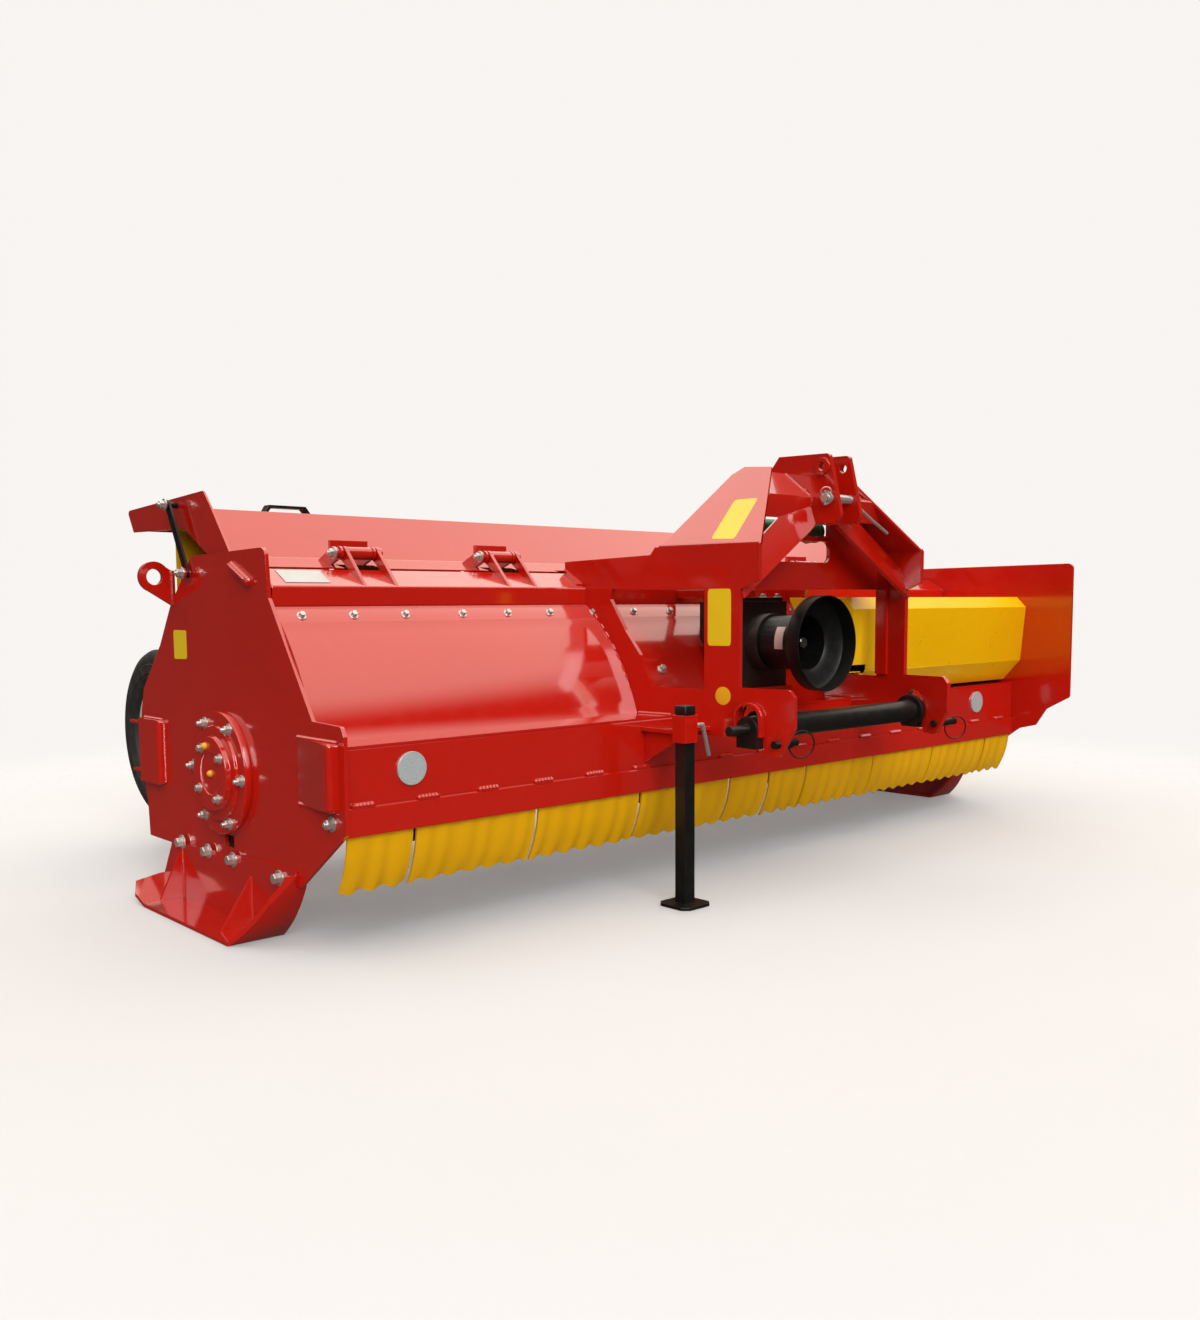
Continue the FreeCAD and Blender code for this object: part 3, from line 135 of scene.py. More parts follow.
def layered_finish(name, colours, gloss, skin, sheet, metal=0.0, coat=0.0, dust=0.0, ior=1.5,
                   coat_ior=1.5):
    """colours: light and dark hex. gloss: low and high roughness. skin, sheet: (mm, height mm)."""
    material, tree = blank_material(name)
    where = add(tree, "ShaderNodeTexCoord").outputs["Object"]
    drift = add(tree, "ShaderNodeTexNoise", {"Vector": where, "Scale": per_metre(240), "Detail": 3.0})
    grime = add(tree, "ShaderNodeTexNoise", {"Vector": where, "Scale": per_metre(38), "Detail": 6.0,
                                             "Roughness": 0.65})
    speck = add(tree, "ShaderNodeTexNoise", {"Vector": where, "Scale": per_metre(6), "Detail": 4.0})
    tone = add(tree, "ShaderNodeMix", {0: drift.outputs["Fac"], 6: paint(colours[0]), 7: paint(colours[1])},
               data_type="RGBA")
    normal = add(tree, "ShaderNodeNewGeometry").outputs["Normal"]
    upward = add(tree, "ShaderNodeSeparateXYZ", {"Vector": normal}).outputs["Z"]
    lying = add(tree, "ShaderNodeMapRange", {"Value": upward, "From Min": 0.2, "From Max": 1.0,
                                             "To Min": 0.25, "To Max": 1.0}).outputs["Result"]
    patches = add(tree, "ShaderNodeMapRange", {"Value": grime.outputs["Fac"], "From Min": 0.48,
                                               "From Max": 0.72}).outputs["Result"]
    dusty = add(tree, "ShaderNodeMath", {0: lying, 1: patches}, operation="MULTIPLY").outputs[0]
    amount = add(tree, "ShaderNodeMath", {0: dusty, 1: dust}, operation="MULTIPLY").outputs[0]
    colour = add(tree, "ShaderNodeMix", {0: amount, 6: tone.outputs[2], 7: paint(DUST)},
                 data_type="RGBA").outputs[2]
    smear = add(tree, "ShaderNodeMapRange", {"Value": grime.outputs["Fac"], "From Min": 0.3,
                                             "From Max": 0.75, "To Min": gloss[0], "To Max": gloss[1]})
    dulled = add(tree, "ShaderNodeMath", {0: amount, 1: 0.5, 2: smear.outputs["Result"]},
                 operation="MULTIPLY_ADD").outputs[0]
    fine = add(tree, "ShaderNodeTexNoise", {"Vector": where, "Scale": per_metre(skin[0]), "Detail": 2.0})
    rolled = add(tree, "ShaderNodeMapping", {"Vector": where, "Scale": (0.22, 1.0, 1.0)}).outputs["Vector"]
    broad = add(tree, "ShaderNodeTexNoise", {"Vector": rolled, "Scale": per_metre(sheet[0]), "Detail": 1.0})
    bent = add(tree, "ShaderNodeBump", {"Height": broad.outputs["Fac"], "Distance": sheet[1] * MM,
                                        "Strength": 1.0}).outputs["Normal"]
    skin_bump = add(tree, "ShaderNodeBump", {"Height": fine.outputs["Fac"], "Distance": skin[1] * MM,
                                             "Strength": 1.0, "Normal": bent}).outputs["Normal"]
    flecks = add(tree, "ShaderNodeBump", {"Height": speck.outputs["Fac"], "Distance": 0.02 * MM,
                                          "Strength": 1.0, "Normal": skin_bump}).outputs["Normal"]
    shader = add(tree, "ShaderNodeBsdfPrincipled", {
        "Base Color": colour, "Roughness": dulled, "Normal": flecks, "Metallic": metal,
        "Coat Weight": coat, "Coat Roughness": COAT_ROUGHNESS, "Coat Normal": bent, "IOR": ior,
        "Coat IOR": coat_ior})
    add(tree, "ShaderNodeOutputMaterial", {"Surface": shader.outputs["BSDF"]})
    print("finish:", name)
    return material


# %% [markdown]
# The red is a two-pack enamel, sprayed over blasted steel and cured hot. Its clear binder
# lies over the pigment as a gloss skin, so it mirrors the pale room as pink on every face
# that looks up. A coat layer does that job in the shader. Orange peel is about 3 mm wide.

# %% Enamels
RED = layered_finish("red_two_pack_enamel", ENAMEL_REDS, (0.12, 0.22), (3, 0.006), (150, 0.45),
                     coat=1.0, dust=0.02, coat_ior=1.65)
ROTOR_RED = layered_finish("worn_rotor_enamel", ("#9E160C", "#6E130C"), (0.45, 0.75), (3, 0.03),
                           (200, 0.4), coat=0.2, dust=0.30)
YELLOW = layered_finish("yellow_powder_coat", ("#F7C200", "#ECB700"), (0.26, 0.38), (2, 0.015),
                        (300, 0.8), coat=0.3, dust=0.04, ior=1.4)
BLACK = layered_finish("black_satin_enamel", ("#151312", "#0D0C0B"), (0.34, 0.48), (2.5, 0.02),
                       (180, 0.3), coat=0.15, dust=0.06, ior=1.4)
RIM_GREY = layered_finish("pale_rim_enamel", ("#C9C7C0", "#B9B6AE"), (0.35, 0.5), (3, 0.015),
                          (150, 0.3), coat=0.5, dust=0.2)

# %% [markdown]
# The gearbox is cast iron, poured in sand, so its skin is grainy at about a millimetre
# under a dark coat. The drive shield is moulded polyethylene, matt and slightly waxy.
# The flaps and the curtain are stiff moulded rubber, coloured through in signal yellow, so
# they are matt and even. Tyres are carbon-black rubber, which greys as it dries.

# %% Castings, plastics and rubbers
CASTING = layered_finish("dark_painted_cast_iron", ("#241813", "#150E0B"), (0.45, 0.62), (1.4, 0.12),
                         (60, 0.5), coat=0.1, dust=0.08, ior=1.4)
MOULDED = layered_finish("moulded_black_polyethylene", ("#0E0D0C", "#070707"), (0.36, 0.50), (1.2, 0.03),
                         (140, 0.5), dust=0.02, ior=1.4)
FLAP_RUBBER = layered_finish("yellow_moulded_rubber", ("#DCA300", "#C99300"), (0.5, 0.65), (1.6, 0.06),
                             (46, 0.8), dust=0.02, ior=1.2)
TYRE_RUBBER = layered_finish("dry_tyre_rubber", ("#262422", "#1B1A19"), (0.6, 0.8), (1.8, 0.08),
                             (70, 0.4), dust=0.35)
GREEN_CAP = layered_finish("green_moulded_plastic", ("#1A7A55", "#146347"), (0.3, 0.42), (1.5, 0.02),
                           (90, 0.3), dust=0.08)
GREASE_CAP = layered_finish("yellow_soft_cap", ("#E5A81A", "#D89A12"), (0.35, 0.5), (1, 0.02), (30, 0.2))
STICKER = layered_finish("yellow_vinyl_film", ("#E6C81E", "#DDBC16"), (0.28, 0.36), (1, 0.006), (60, 0.1),
                         coat=0.3)
PALE_STICKER = layered_finish("pale_vinyl_film", ("#D9C4BC", "#CDB5AC"), (0.3, 0.4), (1, 0.006), (60, 0.1))

# %% [markdown]
# Bolts and pins are zinc plated. A milky film grows on zinc, so it scatters about a quarter
# of its light and mirrors the rest, which keeps bolts bright even where the room is dark.
# Machined steel is bare metal, smoother and darker between its glints. The
# hammers are forged, so their skin is dark scale where the crop hasn't polished it.

# %% Bare metals
ZINC = layered_finish("zinc_plated_steel", ("#D8D4D1", "#B4B0AD"), (0.24, 0.36), (1.1, 0.03), (40, 0.1),
                      metal=0.72, dust=0.06)
MACHINED = layered_finish("machined_steel", ("#B9B8B4", "#9E9D9A"), (0.20, 0.34), (0.9, 0.02), (40, 0.1),
                          metal=1.0, dust=0.06)
FORGED = layered_finish("forged_hammer_steel", ("#5B5148", "#3A342F"), (0.45, 0.7), (2.2, 0.2), (30, 0.4),
                        metal=0.8, dust=0.3)
ALUMINIUM = layered_finish("anodised_aluminium", ("#C4C6C8", "#B6B8BA"), (0.3, 0.42), (0.8, 0.008),
                           (80, 0.1), metal=0.9)

# %% [markdown]
# A reflector is clear acrylic over rows of tiny cube corners. Each corner sends light
# back the way it came, so the disc looks grey-white and finely celled. The cells are a real
# pattern, but the brighter middle of each is a painted highlight for that returned light.
# The real cells are about 2 mm. They are drawn at 5 mm here, as fine as the picture can show.

# %% The reflector's cells
def reflector_finish():
    """Clear plastic over small cells, each with a painted highlight that makes its middle brighter."""
    material, tree = blank_material("prismatic_acrylic")
    where = add(tree, "ShaderNodeTexCoord").outputs["Object"]
    cells = add(tree, "ShaderNodeTexVoronoi", {"Vector": where, "Scale": per_metre(5), "Randomness": 0.15})
    # Painted highlight: each cell's colour is lighter towards its middle and darker at its edge.
    painted_cell_glint = add(tree, "ShaderNodeMapRange", {"Value": cells.outputs["Distance"], "From Min": 0.1,
                                            "From Max": 0.6, "To Min": 0.0, "To Max": 1.0})
    tone = add(tree, "ShaderNodeMix", {0: painted_cell_glint.outputs["Result"], 6: paint("#E4EAEC"), 7: paint("#AEB6BA")},
               data_type="RGBA")
    bump = add(tree, "ShaderNodeBump", {"Height": cells.outputs["Distance"], "Distance": 0.6 * MM})
    shader = add(tree, "ShaderNodeBsdfPrincipled", {
        "Base Color": tone.outputs[2], "Roughness": 0.12, "Normal": bump.outputs["Normal"],
        "Coat Weight": 1.0, "Coat Roughness": 0.03, "Metallic": 0.25})
    add(tree, "ShaderNodeOutputMaterial", {"Surface": shader.outputs["BSDF"]})
    return material


REFLECTOR = reflector_finish()
print("finish:", REFLECTOR.name)

# %% [markdown]
# ## The frame's own pieces
# Each frame piece keeps its shape and gets the finish of its material slot. Real plate
# has a small radius on every cut edge, and that thin line of light is what makes steel
# look like steel. Three modifiers give it: the first joins the corners, the second clears
# the flat faces of needless edges, and the third rounds what is left.

# %% Dress the frame
SLOT_FINISH = {
    "red_paint": RED, "yellow_paint": YELLOW, "yellow_rubber": FLAP_RUBBER, "black_paint": BLACK,
    "black_plastic": MOULDED, "dark_cast": CASTING, "bare_steel": MACHINED, "zinc_steel": ZINC,
    "bare_aluminium": ALUMINIUM, "hammer_steel": FORGED, "rotor_paint": ROTOR_RED,
    "reflector": REFLECTOR, "tyre_rubber": TYRE_RUBBER, "rim_paint": RIM_GREY,
}
USUAL_RADIUS = 1.0
EDGE_RADIUS = {
    "gearbox": 4.0, "front_rail": 3.5, "side_plate_left": 1.5, "side_plate_right": 1.5,
    "hammers": 2.0, "box_beam": 4.0, "top_beam": 4.0, "drive_cover": 6.0,
    "lower_link_bar": 5.0, "rotor_bearing_left": 2.5, "rotor_bearing_right": 2.5,
}
SLOT_OF = {row["node"]: row["material_slot"] for row in frame["record"]["subparts"]}


def soften_edges(piece, radius):
    """Joins the corners, clears the flat faces and rounds the edges, radius in mm."""
    weld = piece.modifiers.new("join corners", "WELD")
    weld.merge_threshold = 0.02 * MM
    flat = piece.modifiers.new("clear flat faces", "DECIMATE")
    flat.decimate_type = "DISSOLVE"
    flat.angle_limit = math.radians(0.5)
    edge = piece.modifiers.new("edge radius", "BEVEL")
    edge.width = radius * MM
    edge.segments = 2
    edge.limit_method = "ANGLE"
    edge.angle_limit = math.radians(32)
    edge.use_clamp_overlap = True


for node, piece in frame["nodes"].items():
    finish = SLOT_FINISH[SLOT_OF[node]]
    for slot in piece.material_slots:
        slot.material = finish
    soften_edges(piece, EDGE_RADIUS.get(node, USUAL_RADIUS))
print("dressed", len(frame["nodes"]), "frame pieces")

# %% [markdown]
# ## Small parts
# Most added pieces are meshes made from rings of points, as a lathe or a rolling mill
# makes them. One function joins rings into a skin. One turns a profile round an axis.
# One sweeps a round bar along a path. One puts the result in the scene on its body.

# %% Mesh helpers
TURN_STEPS = 28


def skin(bm, rings, closed=False):
    """Joins equal rings of points, row by row, and caps both ends unless they meet."""
    rows = [[bm.verts.new(point) for point in ring] for ring in rings]
    pairs = list(zip(rows, rows[1:])) + ([(rows[-1], rows[0])] if closed else [])
    for low, high in pairs:
        for i in range(len(low)):
            k = (i + 1) % len(low)
            bm.faces.new((low[i], low[k], high[k], high[i]))
    if not closed:
        bm.faces.new(rows[0][::-1])
        bm.faces.new(rows[-1])


def square_to(axis):
    """Two directions square to an axis and to each other."""
    side = axis.orthogonal().normalized()
    return side, axis.cross(side).normalized()


def circle(centre, side, up, radius, count):
    """Points round a circle in the plane of side and up, radius in mm."""
    return [centre + (side * math.cos(math.tau * k / count) + up * math.sin(math.tau * k / count))
            * radius * MM for k in range(count)]


def turn(bm, centre, axis, profile, steps=TURN_STEPS, closed=False, tooth=None):
    """Turns (along, radius) points in mm round an axis. tooth scales the radius by angle."""
    axis = Vector(axis).normalized()
    side, up = square_to(axis)
    rings = []
    for along, radius in profile:
        ring = []
        for i in range(steps):
            angle = math.tau * i / steps
            reach = radius * (tooth(i) if tooth else 1.0) * MM
            ring.append(centre + axis * along * MM + (side * math.cos(angle) + up * math.sin(angle)) * reach)
        rings.append(ring)
    skin(bm, rings, closed)


def sweep(bm, points, radius, steps=8, closed=False):
    """A round bar along a path of points, radius in mm."""
    rings, side = [], None
    count = len(points)
    for i, point in enumerate(points):
        after = points[(i + 1) % count] if closed or i + 1 < count else point
        before = points[i - 1] if closed or i else point
        run = (after - before).normalized()
        side = run.orthogonal() if side is None else side - run * side.dot(run)
        side.normalize()
        rings.append(circle(point, side, run.cross(side), radius, steps))
    skin(bm, rings, closed)


def finished(name, bm, body, material, sharp=32):
    """Puts a mesh in the scene, with smooth faces between its sharp edges."""
    mesh = bpy.data.meshes.new(name)
    bmesh.ops.recalc_face_normals(bm, faces=bm.faces)
    bm.to_mesh(mesh)
    bm.free()
    mesh.shade_smooth()
    mesh.set_sharp_from_angle(angle=math.radians(sharp))
    mesh.materials.append(material)
    made = bpy.data.objects.new(name, mesh)
    bpy.context.scene.collection.objects.link(made)
    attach(made, body)
    print(f"{name}: {len(mesh.polygons)} faces, rides on {body}")
    return made


print("a turned edge strays from its circle by", round(1 - math.cos(math.pi / TURN_STEPS), 4))

# %% [markdown]
# ### Bolts
# A flanged joint is held by hexagon bolts on flat washers. The head's corner radius is
# 0.58 of its width across the flats, and its top edge is turned off. A nut has the bolt's
# end standing out of it. Bolts that belong together share one mesh.

# %% A bolt and where the bolts are
def bolt(bm, seat, axis, width, stud=0.0):
    """A hexagon head or nut on its washer, width across flats in mm."""
    washer, disc = 0.13 * width, 0.84 * width
    turn(bm, seat, axis, [(-1.0, disc), (washer * 0.7, disc), (washer, 0.79 * width)], 24)
    head, corner = 0.62 * width, 0.577 * width
    turn(bm, seat, axis, [(washer, corner), (washer + head * 0.86, corner), (washer + head, 0.50 * width)], 6)
    if stud:
        thread = 0.30 * width
        turn(bm, seat, axis, [(washer + head - 1, thread), (washer + head + stud, thread),
                              (washer + head + stud + 1.5, 0.25 * width)], 12)


def bolt_circle(x, y, z, radius, count, start):
    """Places on a circle in a plane across the machine."""
    return [(x, y + radius * math.cos(math.radians(start + i * 360 / count)),
             z + radius * math.sin(math.radians(start + i * 360 / count))) for i in range(count)]


ROTOR_Y, ROTOR_Z = 595, 390
PLATE_FACE, SKID_FACE = 1510, 1518
HINGE_X, HINGE_Y, HINGE_Z = (-1190, -718, 718, 1190), 425, 960
STAY_STUD, STAY_TOP = (766, 912), (873, 1100)
STRIP_BOLT_X = (147, 307, 476, 646, 800, 955, 1138, 1292, 1437)
SLOPE_OUT = Vector((0, -0.727, 0.687))
bm = bmesh.new()
for spot in bolt_circle(-1530, ROTOR_Y, ROTOR_Z, 142, 6, 3):
    bolt(bm, place(*spot), -X_AXIS, 19, stud=7)
for spot in bolt_circle(-1551, ROTOR_Y, ROTOR_Z, 77, 4, 55):
    bolt(bm, place(*spot), -X_AXIS, 16)
SKID_BOLTS = [(SKID_FACE, y, z) for y, z in ((864, 166), (695, 166), (545, 166), (292, 160))]
for x, y, z in both_sides(SKID_BOLTS):
    bolt(bm, place(x, y, z), X_AXIS * math.copysign(1, x), 24)
bolt(bm, place(-PLATE_FACE, 43, 326), -X_AXIS, 22, stud=4)
bolt(bm, place(-308, 171, 625), Vector((0, -0.8, 0.6)), 18)
for side in (-1, 1):
    bolt(bm, place(side * 1532, *STAY_STUD), X_AXIS * side, 20, stud=4)
for hinge in HINGE_X:
    bolt(bm, place(hinge - 78, HINGE_Y, HINGE_Z), -X_AXIS, 20, stud=4)
for x in STRIP_BOLT_X:
    for side in (-1, 1):
        bolt(bm, place(side * x, 293, 798), SLOPE_OUT, 15)
finished("housing_bolts", bm, "frame", ZINC)

# %% [markdown]
# The drive has its own bolts: along both edges of the gearbox lid and round the flange on
# its side. The rear wheels' clamp plates have four nuts each.

# %% Gearbox and clamp bolts
LID_TOP, FLANGE_FACE, FLANGE_CIRCLE = 840, 146, 56
bm = bmesh.new()
for x in (-97, 97):
    for y in (54, 112, 170):
        bolt(bm, place(x, y, LID_TOP), Z_AXIS, 15)
for angle in (0.6, 2.2, 3.8, 5.3):
    y, z = 110 + FLANGE_CIRCLE * math.cos(angle), 700 + FLANGE_CIRCLE * math.sin(angle)
    bolt(bm, place(FLANGE_FACE, y, z), X_AXIS, 13)
for x, y, z in both_sides([(x, 1147, z) for x in (1019, 1121) for z in (356, 444)]):
    bolt(bm, place(x, y, z), Y_AXIS, 17, stud=6)
finished("drive_and_rear_bolts", bm, "frame", ZINC)

# %% [markdown]
# The hood turns on four hinges, each a short tube with its pin. A row of small bolts stands
# on the hood's roof, right above the rod of its curtain, and a nut holds the upper end of
# each flat stay.

# %% Hinge tubes, hood bolts and stay nuts
bm = bmesh.new()
for hinge in HINGE_X:
    turn(bm, place(hinge - 42, HINGE_Y, HINGE_Z), X_AXIS, [(0, 15.5), (2, 17), (71, 17), (73, 15.5)], 32)
finished("hinge_tubes", bm, "frame", RED)

ROD_Y, ROD_Z, ROOF_Z = 925, 1046, 1075.1
bm = bmesh.new()
for x in (-990, -495, 0, 495, 990):
    bolt(bm, place(x, ROD_Y, ROOF_Z), Z_AXIS, 13)
finished("hood_bolts", bm, "hood", ZINC)
for name, side in (("left", -1), ("right", 1)):
    bm = bmesh.new()
    bolt(bm, place(side * 1527, *STAY_TOP), X_AXIS * side, 20, stud=4)
    finished(f"stay_top_nut_{name}", bm, f"stay_{name}", ZINC)

# %% [markdown]
# ### Weld beads
# A hand weld is a row of overlapping drops, each shorter than the bead is wide. It is
# laid in stitches where the joint needs no more. A bar whose radius swells and shrinks
# drop by drop, sunk half into the corner, gives the same broken glint under the paint.

# %% Weld beads
def weld(bm, points, size):
    """A bead along a path of points, its radius in mm, with a ripple every 0.62 of that."""
    rings, drops = [], 0
    for start, end in zip(points, points[1:]):
        run = end - start
        steps = max(3, round(run.length / MM / (size * 0.62)))
        side, up = square_to(run.normalized())
        for i in range(steps + 1):
            drops += 1
            radius = size * (0.86 if drops % 2 else 1.08)
            radius *= 0.55 if i in (0, steps) else 1.0
            rings.append(circle(start.lerp(end, i / steps), side, up, radius, 6))
    skin(bm, rings)


def plate_x(y):
    """The hitch plate's outer face, which flares towards the rear."""
    return 387 + (y + 370) * math.tan(math.radians(8))


SHEET_LINE = [(150, 560), (172, 620), (204, 680), (246, 742), (290, 795)]
bm = bmesh.new()
for x in range(-1485, 1450, 178):
    weld(bm, [place(x, -3, 368), place(x + 62, -3, 368)], 8)
for side in (-1, 1):
    for (y0, z0), (y1, z1) in zip(SHEET_LINE, SHEET_LINE[1:]):
        for share in (0.05, 0.62):
            ends = []
            for t in (share, share + 0.33):
                y, z = y0 + (y1 - y0) * t, z0 + (z1 - z0) * t
                ends.append(place(side * (plate_x(y) + 1), y - 2, z + 1))
            weld(bm, ends, 5)
    weld(bm, [place(side * (plate_x(y) + 1), y, 506) for y in (4, 120)], 5)
    weld(bm, [place(side * (plate_x(y) - 16), y, 506) for y in (4, 120)], 5)
    weld(bm, [place(side * (plate_x(-280) - 3), -280, 984), place(side * (plate_x(48) - 3), 48, 984)], 4)
    weld(bm, [place(side * 56, -190, 1130), place(side * 56, -96, 1203)], 4)
    weld(bm, [place(side * 56, -182, 1066), place(side * 56, -193, 1126)], 4)
    plate, skid = side * (PLATE_FACE + 1), side * (SKID_FACE + 1)
    weld(bm, [place(plate, 884, z) for z in (826, 920)], 5)
    weld(bm, [place(skid, 862, z) for z in (12, 150)], 4)
    weld(bm, [place(skid, 442, z) for z in (12, 138)], 4)
    weld(bm, [place(plate, 979, z) for z in (320, 494)], 4)
    weld(bm, [place(plate, y, 501) for y in (985, 1115)], 4)
for z in (515, 356):
    weld(bm, [place(-PLATE_FACE - 1, y, z) for y in (193, 10)], 5)
weld(bm, [place(-1513, 508, 932), place(-1513, 404, 884)], 7)
weld(bm, [place(-1522, 500, 926), place(-1522, 420, 889)], 5)
finished("weld_beads", bm, "frame", RED)

# %% [markdown]
# ### Stickers and caps
# Safety plates on the real machine carry signs. Here they stay blank: plain vinyl film,
# about a millimetre thick, with rounded corners. Each is a thin block cut to the corners
# given. Soft yellow caps keep dirt off the grease nipples of the rotor's bearing.

# %% Blank stickers and caps
ROUNDING = 0.10


def film(bm, corners, lift=0.5):
    """A thin film over four corners, which lie in one plane and run round it."""
    middle = sum(corners, Vector()) / 4
    normal = (corners[1] - corners[0]).cross(corners[2] - corners[0]).normalized()
    outline = []
    for i, corner in enumerate(corners):
        before, after = corners[i - 1], corners[(i + 1) % 4]
        first, last = corner.lerp(before, ROUNDING), corner.lerp(after, ROUNDING)
        for t in (0, 0.25, 0.5, 0.75, 1):
            outline.append(first.lerp(corner, t).lerp(corner.lerp(last, t), t))
    lower = [point - normal * 0.3 * MM for point in outline]
    upper = [point + normal * lift * MM for point in outline]
    rim = [point + normal * (lift + 0.05) * MM + (middle - point) * 0.02 for point in outline]
    skin(bm, [lower, upper, rim])


bm = bmesh.new()
UPRIGHT = [place(-plate_x(y) - 0.2, y, z) for y, z in ((-196, 706), (-121, 706), (-121, 862), (-196, 862))]
film(bm, UPRIGHT[::-1])
film(bm, [place(-PLATE_FACE - 0.2, y, z) for y, z in ((886, 678), (886, 758), (803, 758), (803, 680))])
MAST = ((-285, -99, 1114), (-273, -174, 1115), (-390, -188, 997), (-398, -110, 1000))
film(bm, [place(*spot) for spot in MAST], lift=1.2)
finished("safety_plates_blank", bm, "frame", STICKER)

bm = bmesh.new()
turn(bm, place(-plate_x(-171) + 0.5, -171, 568), Vector((-0.99, -0.139, 0)),
     [(0, 25), (0.8, 25), (1.0, 24)], 40)
finished("round_marker", bm, "frame", GREASE_CAP)

bm = bmesh.new()
for spot in [(-1551, 614, 461), (-1546, ROTOR_Y, ROTOR_Z)]:
    turn(bm, place(*spot), -X_AXIS, [(-2, 9), (3, 9), (6, 8), (9, 5.5), (11, 3), (11.5, 1)], 20)
finished("grease_caps", bm, "frame", GREASE_CAP)

# %% [markdown]
# ### Front flaps
# Between the skids hangs a row of rubber flaps that stops stones. Each is a stiff moulded
# strip, bolted behind the rail, with shallow waves down its length, and it leans back more
# and more towards its lower edge. One grid of points bent by the waves, and a second one
# a rubber's thickness behind it, keep both faces smooth and the lower edge scalloped.

# %% Rubber strips
def strip(bm, x0, x1, y, top, low, kick, thick, wave, pitch, seed, columns, rows):
    """A wavy hanging strip. It leans back more and more towards its lower edge, by kick there."""
    chance = random.Random(seed)
    phase, stray = chance.uniform(0, 6.28), chance.uniform(0.7, 1.3)

    def point(i, k, side):
        v = k / rows
        x = x0 + (x1 - x0) * i / columns
        turnover = x / pitch * math.tau
        scallop = wave * 1.1 * math.sin(turnover + phase) * v ** 6
        z = top + (low - top) * v + scallop
        uneven = 0.5 * math.sin(turnover * 0.37 * stray + phase)
        depth = wave * 0.5 * (1 - math.cos(turnover + uneven))
        curl = wave * 0.25 * math.sin(turnover * 0.21 + phase) * v
        return place(x, y + depth * (0.7 + 0.3 * v) + curl + kick * v ** 2.6 + side * thick, z)

    grid = [[[bm.verts.new(point(i, k, side)) for k in range(rows + 1)] for i in range(columns + 1)]
            for side in (0, 1)]
    for side in (0, 1):
        for i in range(columns):
            for k in range(rows):
                bm.faces.new((grid[side][i][k], grid[side][i + 1][k],
                              grid[side][i + 1][k + 1], grid[side][i][k + 1]))
    for i in range(columns):
        for k in (0, rows):
            bm.faces.new((grid[0][i][k], grid[0][i + 1][k], grid[1][i + 1][k], grid[1][i][k]))
    for k in range(rows):
        for i in (0, columns):
            bm.faces.new((grid[0][i][k], grid[0][i][k + 1], grid[1][i][k + 1], grid[1][i][k]))


low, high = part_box("front_flaps")
FLAP_FRONT = (low.y - BEAM_FRONT) / MM
FLAP_SPACE = 10.0
FLAP_HALVES = (1, 2, 2, 2, 1, 1, 2, 2, 2, 1)
HALF_FLAP = ((high.x - low.x) / MM + FLAP_SPACE) / sum(FLAP_HALVES)
bm = bmesh.new()
start = low.x / MM
for number, halves in enumerate(FLAP_HALVES):
    end = start + halves * HALF_FLAP
    strip(bm, start, end - FLAP_SPACE, y=FLAP_FRONT + 1, top=344, low=158, kick=46, thick=6, wave=4.5,
          pitch=61, seed=number, columns=36 * halves, rows=18)
    start = end
flaps = finished("rubber_front_flaps", bm, "frame", FLAP_RUBBER, sharp=50)
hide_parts("front_flaps")

# %% [markdown]
# The curtain behind the rotor is the same rubber in longer strips. Each strip is looped
# round a rod and hangs free from it, so its top is a tube.

# %% The rear curtain
CURTAIN_STRIPS, STRIP_SPACE, MARGIN = 6, 18, 1
TUBE_INSIDE, TUBE_OUTSIDE = 8.4, 12.6
low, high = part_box("rear_curtain")
bm = bmesh.new()
width = (high.x - low.x) / MM + (STRIP_SPACE - 2 * MARGIN)
for number in range(CURTAIN_STRIPS):
    start = low.x / MM + number * width / CURTAIN_STRIPS + MARGIN
    end = start + width / CURTAIN_STRIPS - STRIP_SPACE
    strip(bm, start, end, y=921.5, top=1040, low=577, kick=3, thick=5, wave=3.0, pitch=90,
          seed=40 + number, columns=48, rows=24)
    turn(bm, place(start, ROD_Y, ROD_Z), X_AXIS,
         [(0, TUBE_INSIDE), (0, TUBE_OUTSIDE), (end - start, TUBE_OUTSIDE), (end - start, TUBE_INSIDE)],
         24, closed=True)
curtain = finished("rubber_rear_curtain", bm, "curtain", FLAP_RUBBER, sharp=50)
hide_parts("rear_curtain")

# %% [markdown]
# ### Tyres
# The rear wheels carry plain implement tyres: five smooth ribs that run round the tread,
# and side walls with moulded rings. Such a tyre is a turned body, so one profile that is
# turned round the axle makes it. The profile runs out, over the tread and back inside.
# Five nuts on a circle of 168 mm hold each wheel, and a valve sticks out of its rim.

# %% Ribbed tyres
RIBS, GROOVE, SHOULDER = 5, 7.0, 28
TYRE_HALF_WIDTH, RIM_RADIUS = 100, 165.5
NUTS, NUT_CIRCLE = 5, 84


